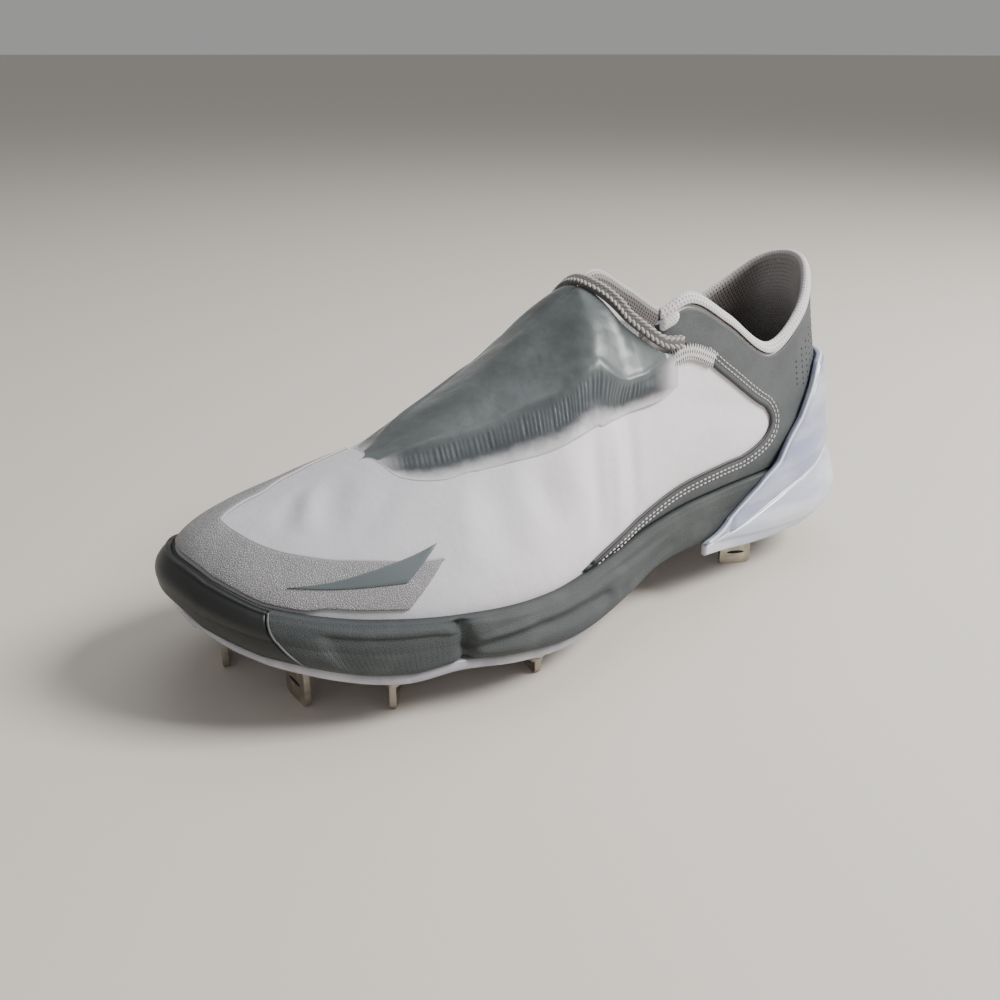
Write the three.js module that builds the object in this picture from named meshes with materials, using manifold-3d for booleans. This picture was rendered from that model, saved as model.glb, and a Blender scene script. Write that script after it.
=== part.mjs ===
// A low-cut baseball cleat for the left foot: a moulded upper with a stretch cover over its lacing,
// a foam midsole with a rubber toe bumper, a clear plate with metal spikes, and a clear heel counter.
// Millimetres. The toe points to -X, the outer side of the foot to -Y, and the spikes stand on z = 0.
import * as THREE from "three";
import { mergeVertices } from "three/addons/utils/BufferGeometryUtils.js";
import Module from "manifold-3d";

const wasm = await Module();
wasm.setup();

// Driving sizes of the last and the stack under it
const LENGTH = 268; // feather edge of the upper, heel to toe
const BALL_WIDTH = 96; // feather edge across the ball of the foot
const HEEL_WIDTH = 65; // feather edge across the heel
const COLLAR_HEIGHT = 115; // top of the heel above the ground
const INSTEP_HEIGHT = 117; // top of the tongue above the ground
const HEEL_STACK = 34; // footbed under the heel above the ground

// The origin lies under the middle of the whole shoe
const MIDDLE = 0.476; // its place along the foot, as a share of LENGTH from the heel
const MIDLINE = 2.7; // shift of the foot's own middle line to the inner side

// Thicknesses and the clearance between pieces that touch
const FIT = 0.35;
const HEEL_FIT = 0.7; // clearance of the clear heel pieces, which wrap round two others
const UPPER_WALL = 2.0;
const OVERLAY = 1.0;
const COVER = 1.6;
const BINDING = 2.8; // thickness of the stitched edge on the cover
const BINDING_HEIGHT = 4.6;
const TONGUE = 3.6;
const TONGUE_STAND = 8; // height of the tongue's top above the cover's
const COLLAR_PAD = 3; // padding inside the collar, at its rim
const COLLAR_ROLL = 3.4; // height of the knit roll above the rim of the upper
const TAB_RADIUS = 2.6;
const TAB_LENGTH = 9;
const TAB_ROW = 5.9; // place of the knit tab along the opening's edge
const INSOLE = 4.0;
const RIM_LIP = 3.0; // midsole wall beside the upper, at its rim
const BUMPER = 1.6;
const PLATE = 4.2;
const TOE_DROP = 1.5; // how far the plate's inset edge hangs lower where the sole rises to the toe
const BOSS = 3.5; // height of a spike's boss under the plate
const COUNTER = 2.2;
const CUSHION_REACH = 8.5; // swell of the heel cushion beyond the midsole
const CUSHION_WALL = 2.5; // thickness of the cushion at its edges
const SPIKE_THICKNESS = 2.2;
const FLANGE = 1.4; // thickness of the foot that holds a spike in its boss
const RIM_MARGIN = 0.6; // height above the rim at which the overlays start
const SIDES = ["outer", "inner"];
const WELD = 1e-3;

// Turns rows of numbers into objects with named columns
function table(columns, ...rows) {
  return rows.map((row) => Object.fromEntries(columns.map((name, i) => [name, row[i]])));
}

// Sections of the upper, from the heel centre to the toe tip. The foot is the feather edge: along is the
// share of LENGTH from the heel, across the share of the local width. The curve from there to the top
// leaves by belly millimetres-per-width outwards, and arrives from spread of the way back and drop below.
const SECTION = ["along", "across", "belly", "spread", "drop"];
const OUTER_SIDE = table(
  SECTION,
  [0.0, 0.0, 0.075, 0.3, 0.42],
  [0.018, -0.27, 0.07, 0.25, 0.42],
  [0.07, -0.425, 0.06, 0.22, 0.42],
  [0.16, -0.485, 0.055, 0.2, 0.42],
  [0.26, -0.475, 0.055, 0.2, 0.4],
  [0.345, -0.445, 0.06, 0.25, 0.36],
  [0.41, -0.44, 0.065, 0.32, 0.3],
  [0.465, -0.455, 0.07, 0.42, 0.16],
  [0.52, -0.475, 0.07, 0.55, 0.0],
  [0.6, -0.505, 0.06, 0.62, 0.0],
  [0.69, -0.505, 0.05, 0.66, 0.0],
  [0.78, -0.475, 0.04, 0.68, 0.0],
  [0.86, -0.39, 0.035, 0.7, 0.0],
  [0.93, -0.265, 0.03, 0.7, 0.0],
  [0.97, -0.1, 0.025, 0.7, 0.0],
  [0.988, 0.1, 0.02, 0.7, 0.0],
);
const INNER_SIDE = table(
  SECTION,
  [0.0, 0.0, 0.075, 0.3, 0.42],
  [0.018, 0.27, 0.07, 0.25, 0.42],
  [0.07, 0.425, 0.06, 0.22, 0.42],
  [0.16, 0.475, 0.055, 0.2, 0.42],
  [0.26, 0.44, 0.06, 0.2, 0.4],
  [0.345, 0.38, 0.075, 0.25, 0.36],
  [0.41, 0.34, 0.085, 0.32, 0.3],
  [0.465, 0.33, 0.085, 0.42, 0.16],
  [0.52, 0.345, 0.08, 0.55, 0.0],
  [0.6, 0.395, 0.065, 0.62, 0.0],
  [0.69, 0.455, 0.05, 0.66, 0.0],
  [0.78, 0.47, 0.04, 0.68, 0.0],
  [0.86, 0.445, 0.035, 0.7, 0.0],
  [0.93, 0.375, 0.03, 0.7, 0.0],
  [0.97, 0.26, 0.025, 0.7, 0.0],
  [0.988, 0.1, 0.02, 0.7, 0.0],
);
// The opening's edge, section by section: collar, then the top of the tongue. The last row is its middle.
const OPENING = ["along", "outer", "inner", "outer_high", "inner_high"];
const TOPLINE = table(
  OPENING,
  [0.012, 0.0, 0.0, 1.0, 1.0],
  [0.03, -0.2, 0.2, 0.97, 0.97],
  [0.08, -0.36, 0.36, 0.86, 0.865],
  [0.16, -0.43, 0.43, 0.765, 0.78],
  [0.25, -0.42, 0.42, 0.885, 0.885],
  [0.315, -0.37, 0.38, 0.96, 0.955],
  [0.365, -0.32, 0.34, 0.915, 0.915],
  [0.4, -0.19, 0.23, 0.92, 0.925],
  [0.42, 0.02, 0.02, 0.975, 0.975],
);
// The line along the top of the foot, from the middle of the tongue's top to the toe box
const RIDGE = table(
  ["along", "across", "high"],
  [0.42, 0.02, 0.975],
  [0.5, 0.035, 0.854],
  [0.6, 0.05, 0.708],
  [0.69, 0.06, 0.615],
  [0.77, 0.065, 0.565],
  [0.835, 0.07, 0.532],
  [0.885, 0.07, 0.508],
  [0.915, 0.07, 0.495],
);
const ROWS = OUTER_SIDE.length - 1; // the toe tip's row number, with the heel centre as 0
const TONGUE_ROW = TOPLINE.length - 1;

// Heights of the sole along the foot, as shares of HEEL_STACK: underside of the plate, footbed, and the
// midsole's rim on both sides. swell is how far the midsole stands out, and inset how far the plate's edge
// lies inside the midsole's lower edge, both as shares of BALL_WIDTH.
const SOLE = table(
  ["along", "under", "bed", "rim_outer", "rim_inner", "swell", "inset"],
  [0.0, 0.49, 0.97, 1.33, 1.33, 0.02, 0.03],
  [0.1, 0.435, 0.97, 1.29, 1.29, 0.02, 0.03],
  [0.2, 0.45, 0.965, 1.245, 1.26, 0.025, 0.04],
  [0.3, 0.52, 0.935, 1.18, 1.24, 0.03, 0.08],
  [0.4, 0.47, 0.865, 1.075, 1.2, 0.04, 0.08],
  [0.5, 0.335, 0.775, 0.955, 1.1, 0.06, 0.01],
  [0.58, 0.29, 0.735, 0.9, 1.03, 0.07, 0.0],
  [0.66, 0.335, 0.71, 0.91, 1.0, 0.06, 0.0],
  [0.735, 0.42, 0.72, 0.97, 1.02, 0.035, 0.0],
  [0.8, 0.42, 0.77, 1.035, 1.05, 0.05, 0.0],
  [0.86, 0.5, 0.84, 1.1, 1.1, 0.045, 0.01],
  [0.93, 0.67, 0.99, 1.22, 1.22, 0.03, 0.025],
  [0.97, 0.82, 1.09, 1.36, 1.36, 0.02, 0.03],
  [0.988, 0.95, 1.14, 1.43, 1.43, 0.01, 0.03],
);

const CORNER_ROW = 6; // front end of the collar's roll
const TONGUE_ENDS = [6.5, 10.6];
const LOW_SHARE = 0.36; // height at which a section's belly stands, as a share of its rise
// Edge of the upper under the cover: v where it stops, whole again past the last row
const THROAT = table(
  ["row", "v"],
  [6, 1],
  [6.5, 0.9],
  [7.5, 0.84],
  [9, 0.82],
  [10, 0.84],
  [10.5, 0.9],
  [11, 1],
);
// The cover: v at its lower and its upper edge
const COVER_EDGE = table(
  ["row", "outer", "inner", "top"],
  [5.4, 0.67, 0.67, 0.815],
  [6, 0.64, 0.64, 0.855],
  [6.5, 0.605, 0.605, 0.9],
  [7, 0.56, 0.565, 0.935],
  [7.5, 0.5, 0.51, 0.97],
  [8, 0.465, 0.475, 1],
  [9, 0.55, 0.55, 1],
  [10, 0.67, 0.67, 1],
  [10.5, 0.715, 0.715, 1],
  [11, 0.8, 0.8, 1],
  [11.7, 0.95, 0.95, 1],
);
const [COVER_BACK, COVER_FRONT] = [COVER_EDGE[0].row, COVER_EDGE.at(-1).row];
// Toe overlay: where its tip ends, by the share from the midsole up, and its upper edge
const TOE_TIP = table(["share", "outer", "inner"], [0, 11.1, 11.4], [1, 10.6, 10.9]);
const TOE_BAND = table(
  ["row", "outer", "inner"],
  [10.6, 0.41, 0.7],
  [11.5, 0.475, 0.77],
  [12.3, 0.535, 0.81],
  [13, 0.615, 0.85],
  [14, 0.775, 0.87],
  [15, 0.92, 0.92],
);
// Front edge of the rear overlay, by the share from the midsole up to the collar
const REAR_EDGE = table(
  ["share", "outer", "inner"],
  [0, 8.3, 8.3],
  [0.05, 7, 7],
  [0.09, 5.9, 5.9],
  [0.13, 4.6, 4.6],
  [0.18, 3.65, 3.65],
  [0.3, 3.2, 3.2],
  [0.45, 3.0, 3.0],
  [0.6, 3.12, 3.12],
  [0.68, 3.55, 3.55],
  [0.75, 4.2, 4.2],
  [0.82, 5.0, 5.0],
  [0.9, 5.8, 5.8],
  [1, 6.1, 6.1],
);
// Outer face of the midsole from its rim down, with its swell as a share of the section's
const FACE = table(
  ["down", "out"],
  [0, 0],
  [0.12, 0.33],
  [0.4, 0.76],
  [0.72, 1],
  [0.92, 0.82],
  [1, 0.5],
);
const REAR_TOP = 0.985; // v where the rear overlay stops, under the collar's roll
const SEAM_ROW = 12.9; // where the toe bumper meets the midsole
const SEAM_STEP = 0.02;
const SEAM_SLANT = 0.5; // how far the seam leans back at its lower end, in rows
// Clear heel: its upper edge, and the crease between counter and cushion, as shares of HEEL_STACK
const HEEL = table(
  ["row", "top", "crease"],
  [0, 2.36, 1.33],
  [1, 2.38, 1.3],
  [1.6, 2.34, 1.22],
  [2, 2.1, 1.15],
  [2.4, 1.8, 1.07],
  [3, 1.38, 0.94],
  [4, 0.9, 0.73],
  [4.5, 0.69, 0.65],
);
const HEEL_FRONT = HEEL.at(-1).row;
const BINDING_SECTION = table(
  ["out", "rise"],
  [0, 0],
  [0.75, 0],
  [1, 0.25],
  [1, 0.75],
  [0.75, 1],
  [0, 1],
);
// Spikes: places as shares of LENGTH and of the local width, turn from the shoe's length in degrees, and
// width at the ground
const SPIKES = table(
  ["name", "along", "across", "turn", "width"],
  ["spike_toe_outer", 0.885, -0.17, 92, 14],
  ["spike_toe_inner", 0.925, 0.2, 65, 12],
  ["spike_fore_outer", 0.79, -0.36, 56, 13],
  ["spike_fore_inner", 0.8, 0.36, 110, 13],
  ["spike_ball_outer", 0.61, -0.44, 80, 13],
  ["spike_ball_inner", 0.64, 0.37, 110, 13],
  ["spike_heel_outer", 0.18, -0.39, -25, 13],
  ["spike_heel_inner", 0.155, 0.36, 25, 13],
);

const clamp = THREE.MathUtils.clamp;
const mix = THREE.MathUtils.lerp;
const ease = THREE.MathUtils.smoothstep;

// Catmull-Rom through four values, between the middle two
function through(a, b, c, d, t) {
  const slopeB = (c - a) / 2;
  const slopeC = (d - b) / 2;
  const u = 1 - t;
  return b * (1 + 2 * t) * u * u + slopeB * t * u * u + c * t * t * (3 - 2 * t) - slopeC * t * t * u;
}

// A smooth reading of one column between rows. before and after are the rows past the ends.
function reading(rows, column, at, before = rows[0], after = rows[rows.length - 1]) {
  const i = clamp(Math.floor(at), 0, rows.length - 2);
  const first = i > 0 ? rows[i - 1] : before;
  const last = i + 2 < rows.length ? rows[i + 2] : after;
  return through(first[column], rows[i][column], rows[i + 1][column], last[column], at - i);
}

// The same by the value in the table's key column, straight between rows where straight is set
function readingBy(rows, key, column, value, straight = false) {
  let i = 0;
  while (i < rows.length - 2 && rows[i + 1][key] < value) i++;
  const t = clamp((value - rows[i][key]) / (rows[i + 1][key] - rows[i][key]), 0, 1);
  return straight ? mix(rows[i][column], rows[i + 1][column], t) : reading(rows, column, i + t);
}

const localWidth = (along) => mix(HEEL_WIDTH, BALL_WIDTH, ease(along, 0.15, 0.65));
const xAt = (along) => (MIDDLE - along) * LENGTH;
const yAt = (across, along) => across * localWidth(along) + MIDLINE;
const alongAt = (x) => MIDDLE - x / LENGTH;
const soleLevel = (column, along) => HEEL_STACK * readingBy(SOLE, "along", column, clamp(along, 0, 1));
// Closer at the heel and the toe, where the foot's outline bends most
const FULL_ROWS = [
  ...steps(0, 1.25, 0.25),
  ...steps(1.5, 7.5, 0.75),
  ...steps(8, 12, 0.5),
  ...steps(12.25, ROWS, 0.25),
];
const otherSide = (side) => (side === "outer" ? "inner" : "outer");

// A row counted on past the heel centre or the toe tip, where one side becomes the other
function wrapped(side, row) {
  if (row < 0) return [otherSide(side), -row];
  if (row > ROWS) return [otherSide(side), 2 * ROWS - row];
  return [side, row];
}

function sectionReading(side, column, row) {
  const own = side === "outer" ? OUTER_SIDE : INNER_SIDE;
  const other = side === "outer" ? INNER_SIDE : OUTER_SIDE;
  return reading(own, column, row, other[1], other[ROWS - 1]);
}

function footPoint(side, row) {
  const along = sectionReading(side, "along", row);
  const across = sectionReading(side, "across", row);
  return new THREE.Vector3(xAt(along), yAt(across, along), soleLevel("bed", along) + FIT);
}

// Level outward direction of the feather edge
function footOutward(side, row) {
  const step = 0.02;
  const behind = footPoint(...wrapped(side, row - step));
  const ahead = footPoint(...wrapped(side, row + step));
  const turn = side === "outer" ? -1 : 1;
  return new THREE.Vector3(turn * (ahead.y - behind.y), -turn * (ahead.x - behind.x), 0).normalize();
}

// The edge of the opening, and past the middle of the tongue's top the ridge of the foot
function topPoint(side, row) {
  if (row >= TONGUE_ROW) {
    const value = (column) => reading(RIDGE, column, row - TONGUE_ROW);
    const along = value("along");
    return new THREE.Vector3(xAt(along), yAt(value("across"), along), value("high") * INSTEP_HEIGHT);
  }
  const other = otherSide(side);
  const mirrored = (r) => ({ along: r.along, [side]: r[other], [side + "_high"]: r[other + "_high"] });
  const value = (column) =>
    reading(TOPLINE, column, row, mirrored(TOPLINE[1]), mirrored(TOPLINE[TONGUE_ROW - 1]));
  const along = value("along");
  const reference = mix(COLLAR_HEIGHT, INSTEP_HEIGHT, ease(row, 3, 6));
  return new THREE.Vector3(xAt(along), yAt(value(side), along), value(side + "_high") * reference);
}

// Rise of the ridge for each millimetre towards the heel
function ridgeSlope(row) {
  if (row < TONGUE_ROW) return 0;
  const step = 0.05;
  const ahead = topPoint("outer", Math.min(row + step, ROWS));
  const behind = topPoint("outer", Math.max(Math.min(row, ROWS - step), TONGUE_ROW));
  return (behind.z - ahead.z) / (behind.x - ahead.x);
}

// The four corners of the curve that a section follows from the feather edge to the top
function sectionCurve(side, row) {
  const foot = footPoint(side, row);
  const top = topPoint(side, row);
  const rise = top.z - foot.z;
  const belly = sectionReading(side, "belly", row) * BALL_WIDTH;
  const low = foot.clone().addScaledVector(footOutward(side, row), belly);
  low.z += rise * LOW_SHARE;
  const spread = sectionReading(side, "spread", row);
  const high = new THREE.Vector3(mix(top.x, low.x, spread), mix(top.y, low.y, spread), top.z);
  high.z -= rise * Math.max(0, sectionReading(side, "drop", row));
  high.z += ridgeSlope(row) * (high.x - top.x) * ease(row, TONGUE_ROW, TONGUE_ROW + 1);
  return [foot, low, high, top];
}

// A point of the upper's outer form: v runs from the feather edge (0) to the top (1)
function formPoint({ side, row, v }) {
  const [foot, low, high, top] = sectionCurve(side, row);
  const u = 1 - v;
  return foot
    .multiplyScalar(u * u * u)
    .addScaledVector(low, 3 * u * u * v)
    .addScaledVector(high, 3 * u * v * v)
    .addScaledVector(top, v * v * v);
}

// Direction of the section at a place, towards the top
function formRise({ side, row, v }) {
  const [foot, low, high, top] = sectionCurve(side, row);
  const u = 1 - v;
  return low
    .clone()
    .sub(foot)
    .multiplyScalar(u * u)
    .addScaledVector(high.clone().sub(low), 2 * u * v)
    .addScaledVector(top.clone().sub(high), v * v)
    .normalize();
}

// Outward direction of the form, shared by both sides on the ridge
function formNormal(place) {
  const normal = sideNormal(place);
  if (place.row < TONGUE_ROW || place.v < 1) return normal;
  return normal.add(sideNormal({ ...place, side: otherSide(place.side) })).normalize();
}

function sideNormal({ side, row, v }) {
  const step = 0.04;
  const level = row > ROWS - 0.5 || row < 0.5 ? Math.min(v, 0.96) : v;
  const onRidge = row >= TONGUE_ROW && row - step < TONGUE_ROW;
  const [sideBehind, rowBehind] = wrapped(side, onRidge ? row : row - step);
  const [sideAhead, rowAhead] = wrapped(side, row + step);
  const forward = formPoint({ side: sideAhead, row: rowAhead, v: level });
  forward.sub(formPoint({ side: sideBehind, row: rowBehind, v: level }));
  const rise = formRise({ side, row, v: level });
  return (side === "outer" ? rise.cross(forward) : forward.cross(rise)).normalize();
}

// The form moved out by lift
function skinPoint(place, lift) {
  return formPoint(place).addScaledVector(formNormal(place), lift);
}

// v where a section passes a height
function vAtHeight(side, row, z) {
  let low = 0;
  let high = 1;
  for (let i = 0; i < 20; i++) {
    const v = (low + high) / 2;
    if (formPoint({ side, row, v }).z < z) low = v;
    else high = v;
  }
  return low;
}

// Numbers from a to b in equal steps no longer than step, with b
function steps(a, b, step) {
  const count = Math.max(1, Math.ceil((b - a) / step - 1e-6));
  return Array.from({ length: count + 1 }, (_, i) => a + ((b - a) * i) / count);
}

// Triangles with shared corners: equal corners weld, and triangles without area drop out
class Skin {
  corners = [];
  triangles = [];
  known = new Map();
  corner(point) {
    const key = [point.x, point.y, point.z].map((n) => Math.round(n / WELD)).join();
    if (!this.known.has(key)) {
      this.known.set(key, this.corners.length);
      this.corners.push(point);
    }
    return this.known.get(key);
  }
  triangle(a, b, c) {
    if (a !== b && b !== c && c !== a) this.triangles.push([a, b, c]);
  }
  // Fills a grid of corner numbers, facing the other way where turned is set
  grid(lines, turned) {
    for (let i = 0; i + 1 < lines.length; i++) {
      for (let j = 0; j + 1 < lines[i].length; j++) {
        const [a, b] = [lines[i][j], lines[i + 1][j]];
        const [c, d] = [lines[i + 1][j + 1], lines[i][j + 1]];
        if (turned) {
          this.triangle(a, d, c);
          this.triangle(a, c, b);
        } else {
          this.triangle(a, b, c);
          this.triangle(a, c, d);
        }
      }
    }
  }
  // Edges that one triangle has and no other runs back along
  openEdges() {
    const edges = new Map();
    for (const [a, b, c] of this.triangles) {
      for (const [p, q] of [[a, b], [b, c], [c, a]]) {
        if (!edges.delete(q + "," + p)) edges.set(p + "," + q, [p, q]);
      }
    }
    return [...edges.values()];
  }
  geometry() {
    const shape = new THREE.BufferGeometry();
    const corners = this.corners.flatMap((p) => [p.x, p.y, p.z]);
    shape.setAttribute("position", new THREE.Float32BufferAttribute(corners, 3));
    shape.setIndex(this.triangles.flat());
    return facingOut(shape);
  }
}

function volumeOf(shape) {
  const at = shape.getAttribute("position");
  const corner = (i) => new THREE.Vector3().fromBufferAttribute(at, shape.index.getX(i));
  let volume = 0;
  for (let i = 0; i < shape.index.count; i += 3) {
    volume += corner(i).dot(corner(i + 1).cross(corner(i + 2))) / 6;
  }
  return volume;
}

function facingOut(shape) {
  if (volumeOf(shape) < 0) {
    const index = shape.index;
    for (let i = 0; i < index.count; i += 3) {
      const swap = index.getX(i);
      index.setX(i, index.getX(i + 1));
      index.setX(i + 1, swap);
    }
  }
  return shape;
}

// A closed wall over patches of places. Each patch is a grid of places on one side of the foot.
function wallOver(patches, outside, inside) {
  const skin = new Skin();
  const partner = [];
  for (const patch of patches) {
    const lines = patch.map((line) =>
      line.map((place) => {
        const number = skin.corner(outside(place));
        partner[number] ??= inside(place);
        return number;
      }),
    );
    skin.grid(lines, patch[0][0].side === "outer");
  }
  const edges = skin.openEdges();
  const front = skin.triangles.slice();
  const count = skin.corners.length;
  skin.corners.push(...partner);
  for (const [a, b, c] of front) skin.triangle(a + count, c + count, b + count);
  for (const [p, q] of edges) {
    skin.triangle(q, p, p + count);
    skin.triangle(q, p + count, q + count);
  }
  return skin.geometry();
}

// A closed solid through sections across the foot. edgeAt lists one side's points, from top to bottom.
function loftAcross(rows, edgeAt) {
  const skin = new Skin();
  const middle = (a, b) => a.clone().lerp(b, 0.5);
  const lines = { outer: [], inner: [] };
  for (const row of rows) {
    const edges = { outer: edgeAt("outer", row), inner: edgeAt("inner", row) };
    const top = middle(edges.outer[0], edges.inner[0]);
    const bottom = middle(edges.outer.at(-1), edges.inner.at(-1));
    for (const side of SIDES) {
      lines[side].push([top, ...edges[side], bottom].map((point) => skin.corner(point)));
    }
  }
  skin.grid(lines.outer, false);
  skin.grid(lines.inner, true);
  return skin.geometry();
}

// A closed bar through rings of equal length
function barThrough(rings) {
  const skin = new Skin();
  const lines = rings.map((ring) => [...ring, ring[0]].map((point) => skin.corner(point)));
  skin.grid(lines, false);
  for (const [line, turned] of [[lines[0], false], [lines.at(-1), true]]) {
    for (let i = 1; i + 2 < line.length; i++) {
      if (turned) skin.triangle(line[0], line[i + 1], line[i]);
      else skin.triangle(line[0], line[i], line[i + 1]);
    }
  }
  return skin.geometry();
}

function asSolid(shape) {
  const plain = shape.clone();
  plain.deleteAttribute("normal");
  plain.deleteAttribute("uv");
  const merged = mergeVertices(plain, WELD);
  return new wasm.Manifold(
    new wasm.Mesh({
      numProp: 3,
      vertProperties: new Float32Array(merged.getAttribute("position").array),
      triVerts: new Uint32Array(merged.index.array),
    }),
  );
}

function asGeometry(solid) {
  const mesh = solid.getMesh();
  const shape = new THREE.BufferGeometry();
  shape.setAttribute("position", new THREE.BufferAttribute(mesh.vertProperties, mesh.numProp));
  shape.setIndex(new THREE.BufferAttribute(mesh.triVerts, 1));
  return shape;
}

function joined(first, ...others) {
  return asGeometry(others.reduce((sum, shape) => sum.add(asSolid(shape)), asSolid(first)));
}

// A patch of places on one side: low and high give v at each row
function patchBetween(side, rows, low, high, count) {
  return rows.map((row) =>
    steps(0, 1, 1 / count).map((w) => ({ side, row, v: mix(low(side, row), high(side, row), w) })),
  );
}
const bothSides = (patchFor) => SIDES.map(patchFor);

// Where the upper ends: at its collar, down the throat under the cover, and whole over the toe
const throatEdge = (side, row) => readingBy(THROAT, "row", "v", row, true);
const padAt = (row, v) => COLLAR_PAD * ease(v, 0.5, 0.92) * (1 - ease(row, CORNER_ROW - 1.2, CORNER_ROW));

function upperShape() {
  const body = wallOver(
    bothSides((side) => patchBetween(side, FULL_ROWS, () => 0, throatEdge, 8)),
    (place) => skinPoint(place, 0),
    (place) => skinPoint(place, -UPPER_WALL - padAt(place.row, place.v)),
  );
  return joined(body, toeOverlay(), rearOverlay());
}

const stepOutside = (place) => skinPoint(place, OVERLAY);
const stepInside = (place) => skinPoint(place, -UPPER_WALL / 2);

// v at the midsole's rim, below which an overlay would be hidden
function rimShare(side, row) {
  return vAtHeight(side, row, solePlace(side, row).rim + RIM_MARGIN);
}

// The grainy overlay round the toe: a band along the midsole that ends in a slanted tip on each side
function toeOverlay() {
  const placeAt = (side, s, k) => {
    const row = mix(readingBy(TOE_TIP, "share", side, k, true), ROWS, s);
    return { side, row, v: mix(rimShare(side, row), readingBy(TOE_BAND, "row", side, row), k) };
  };
  const line = (side, s) => steps(0, 1, 0.2).map((k) => placeAt(side, s, k));
  return wallOver(
    bothSides((side) => steps(0, 1, 1 / 14).map((s) => line(side, s))),
    stepOutside,
    stepInside,
  );
}

// The overlay round the heel and under the side panel, up to the collar
function rearOverlay() {
  const placeAt = (side, s, k) => {
    const row = s * readingBy(REAR_EDGE, "share", side, k, true);
    return { side, row, v: mix(rimShare(side, row), REAR_TOP, k) };
  };
  const line = (side, s) => REAR_EDGE.map(({ share }) => placeAt(side, s, share));
  return wallOver(
    bothSides((side) => steps(0, 1, 0.1).map((s) => line(side, s))),
    stepOutside,
    stepInside,
  );
}

// The knit roll on the collar's rim: a half-round bar from one side of the throat round the heel
function collarRollShape() {
  const rows = FULL_ROWS.filter((row) => row < CORNER_ROW);
  const path = [
    ...rows.slice(1).reverse().map((row) => ({ side: "inner", row, v: 1 })),
    ...rows.map((row) => ({ side: "outer", row, v: 1 })),
  ];
  const rings = path.map((place) => {
    const outward = formNormal(place);
    const up = formRise(place);
    const thickness = OVERLAY + UPPER_WALL + padAt(place.row, 1);
    const middle = skinPoint(place, OVERLAY - thickness / 2).addScaledVector(up, FIT);
    return steps(0, Math.PI, Math.PI / 6).map((turn) =>
      middle
        .clone()
        .addScaledVector(outward, (Math.cos(turn) * thickness) / 2)
        .addScaledVector(up, Math.sin(turn) * COLLAR_ROLL),
    );
  });
  return barThrough(rings);
}

const coverLow = (side, row) => readingBy(COVER_EDGE, "row", side, row);
const coverTop = (side, row) => (row < TONGUE_ROW ? readingBy(COVER_EDGE, "row", "top", row, true) : 1);

// Height of the cover's underside over the form: clear of the rear overlay at its back corners
const coverLift = (row) => 1.5 * FIT + OVERLAY * (1 - ease(row, TONGUE_ROW - 1, TONGUE_ROW + 1));

// The stretch cover over the throat: one sheet across the ridge
function laceCoverShape() {
  const front = steps(TONGUE_ROW, COVER_FRONT, 0.5).slice(1);
  const rows = [...steps(COVER_BACK, TONGUE_ROW, 0.5), ...front];
  return wallOver(
    bothSides((side) => patchBetween(side, rows, coverLow, coverTop, 7)),
    (place) => skinPoint(place, coverLift(place.row) + COVER),
    (place) => skinPoint(place, coverLift(place.row)),
  );
}

// Direction in which the top edge of cover and tongue stands, from the corners to the middle
function topEdgeRise(place) {
  const ridge = topPoint("outer", TONGUE_ROW).sub(topPoint("outer", TONGUE_ROW + 0.5)).normalize();
  return formRise(place).lerp(ridge, ease(place.row, COVER_BACK, TONGUE_ROW)).normalize();
}

// Outward direction at the top edge: the two sides' normals run into each other at its middle
function topEdgeOutward(place) {
  const middle = formNormal({ side: "outer", row: TONGUE_ROW, v: 1 });
  return formNormal(place).lerp(middle, ease(place.row, TONGUE_ROW - 1, TONGUE_ROW)).normalize();
}

// The thick stitched edge along the top of the cover
function coverBindingShape() {
  const rows = steps(COVER_BACK, TONGUE_ROW, 0.25);
  const edge = (side) => rows.map((row) => ({ side, row, v: coverTop(side, row) }));
  const rings = [...edge("inner"), ...edge("outer").slice(0, -1).reverse()].map((place) => {
    const up = topEdgeRise(place);
    const outward = topEdgeOutward(place);
    const foot = formPoint(place).addScaledVector(up, 4 * FIT);
    return BINDING_SECTION.map(({ out, rise }) =>
      foot
        .clone()
        .addScaledVector(outward, coverLift(place.row) + out * BINDING)
        .addScaledVector(up, rise * BINDING_HEIGHT),
    );
  });
  return barThrough(rings);
}

// Between the throat's edges the padded tongue stands up to the cover; beside them it lies under the upper
function tongueLift(place) {
  const edge = throatEdge(place.side, place.row);
  return mix(-UPPER_WALL - 2 * FIT, 0, ease(place.v, edge + 0.03, edge + 0.2));
}

function tonguePoint(place, depth) {
  const point = skinPoint(place, tongueLift(place) - depth);
  if (!place.stand) return point;
  const fullness = Math.sin((Math.PI / 2) * ease(place.row, TONGUE_ENDS[0], TONGUE_ROW));
  return point.addScaledVector(topEdgeRise(place), place.stand * TONGUE_STAND * fullness);
}

function tongueShape() {
  const back = steps(TONGUE_ENDS[0], TONGUE_ROW, 0.5);
  const rows = [...back, ...steps(TONGUE_ROW, TONGUE_ENDS[1], 0.5).slice(1)];
  const low = (side, row) => Math.max(0.5, throatEdge(side, row) - 0.14);
  const above = (side) => back.map((row) => [0, 0.5, 1].map((stand) => ({ side, row, v: 1, stand })));
  return wallOver(
    [...bothSides((side) => patchBetween(side, rows, low, () => 1, 5)), ...bothSides(above)],
    (place) => tonguePoint(place, 0),
    (place) => tonguePoint(place, TONGUE),
  );
}

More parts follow.
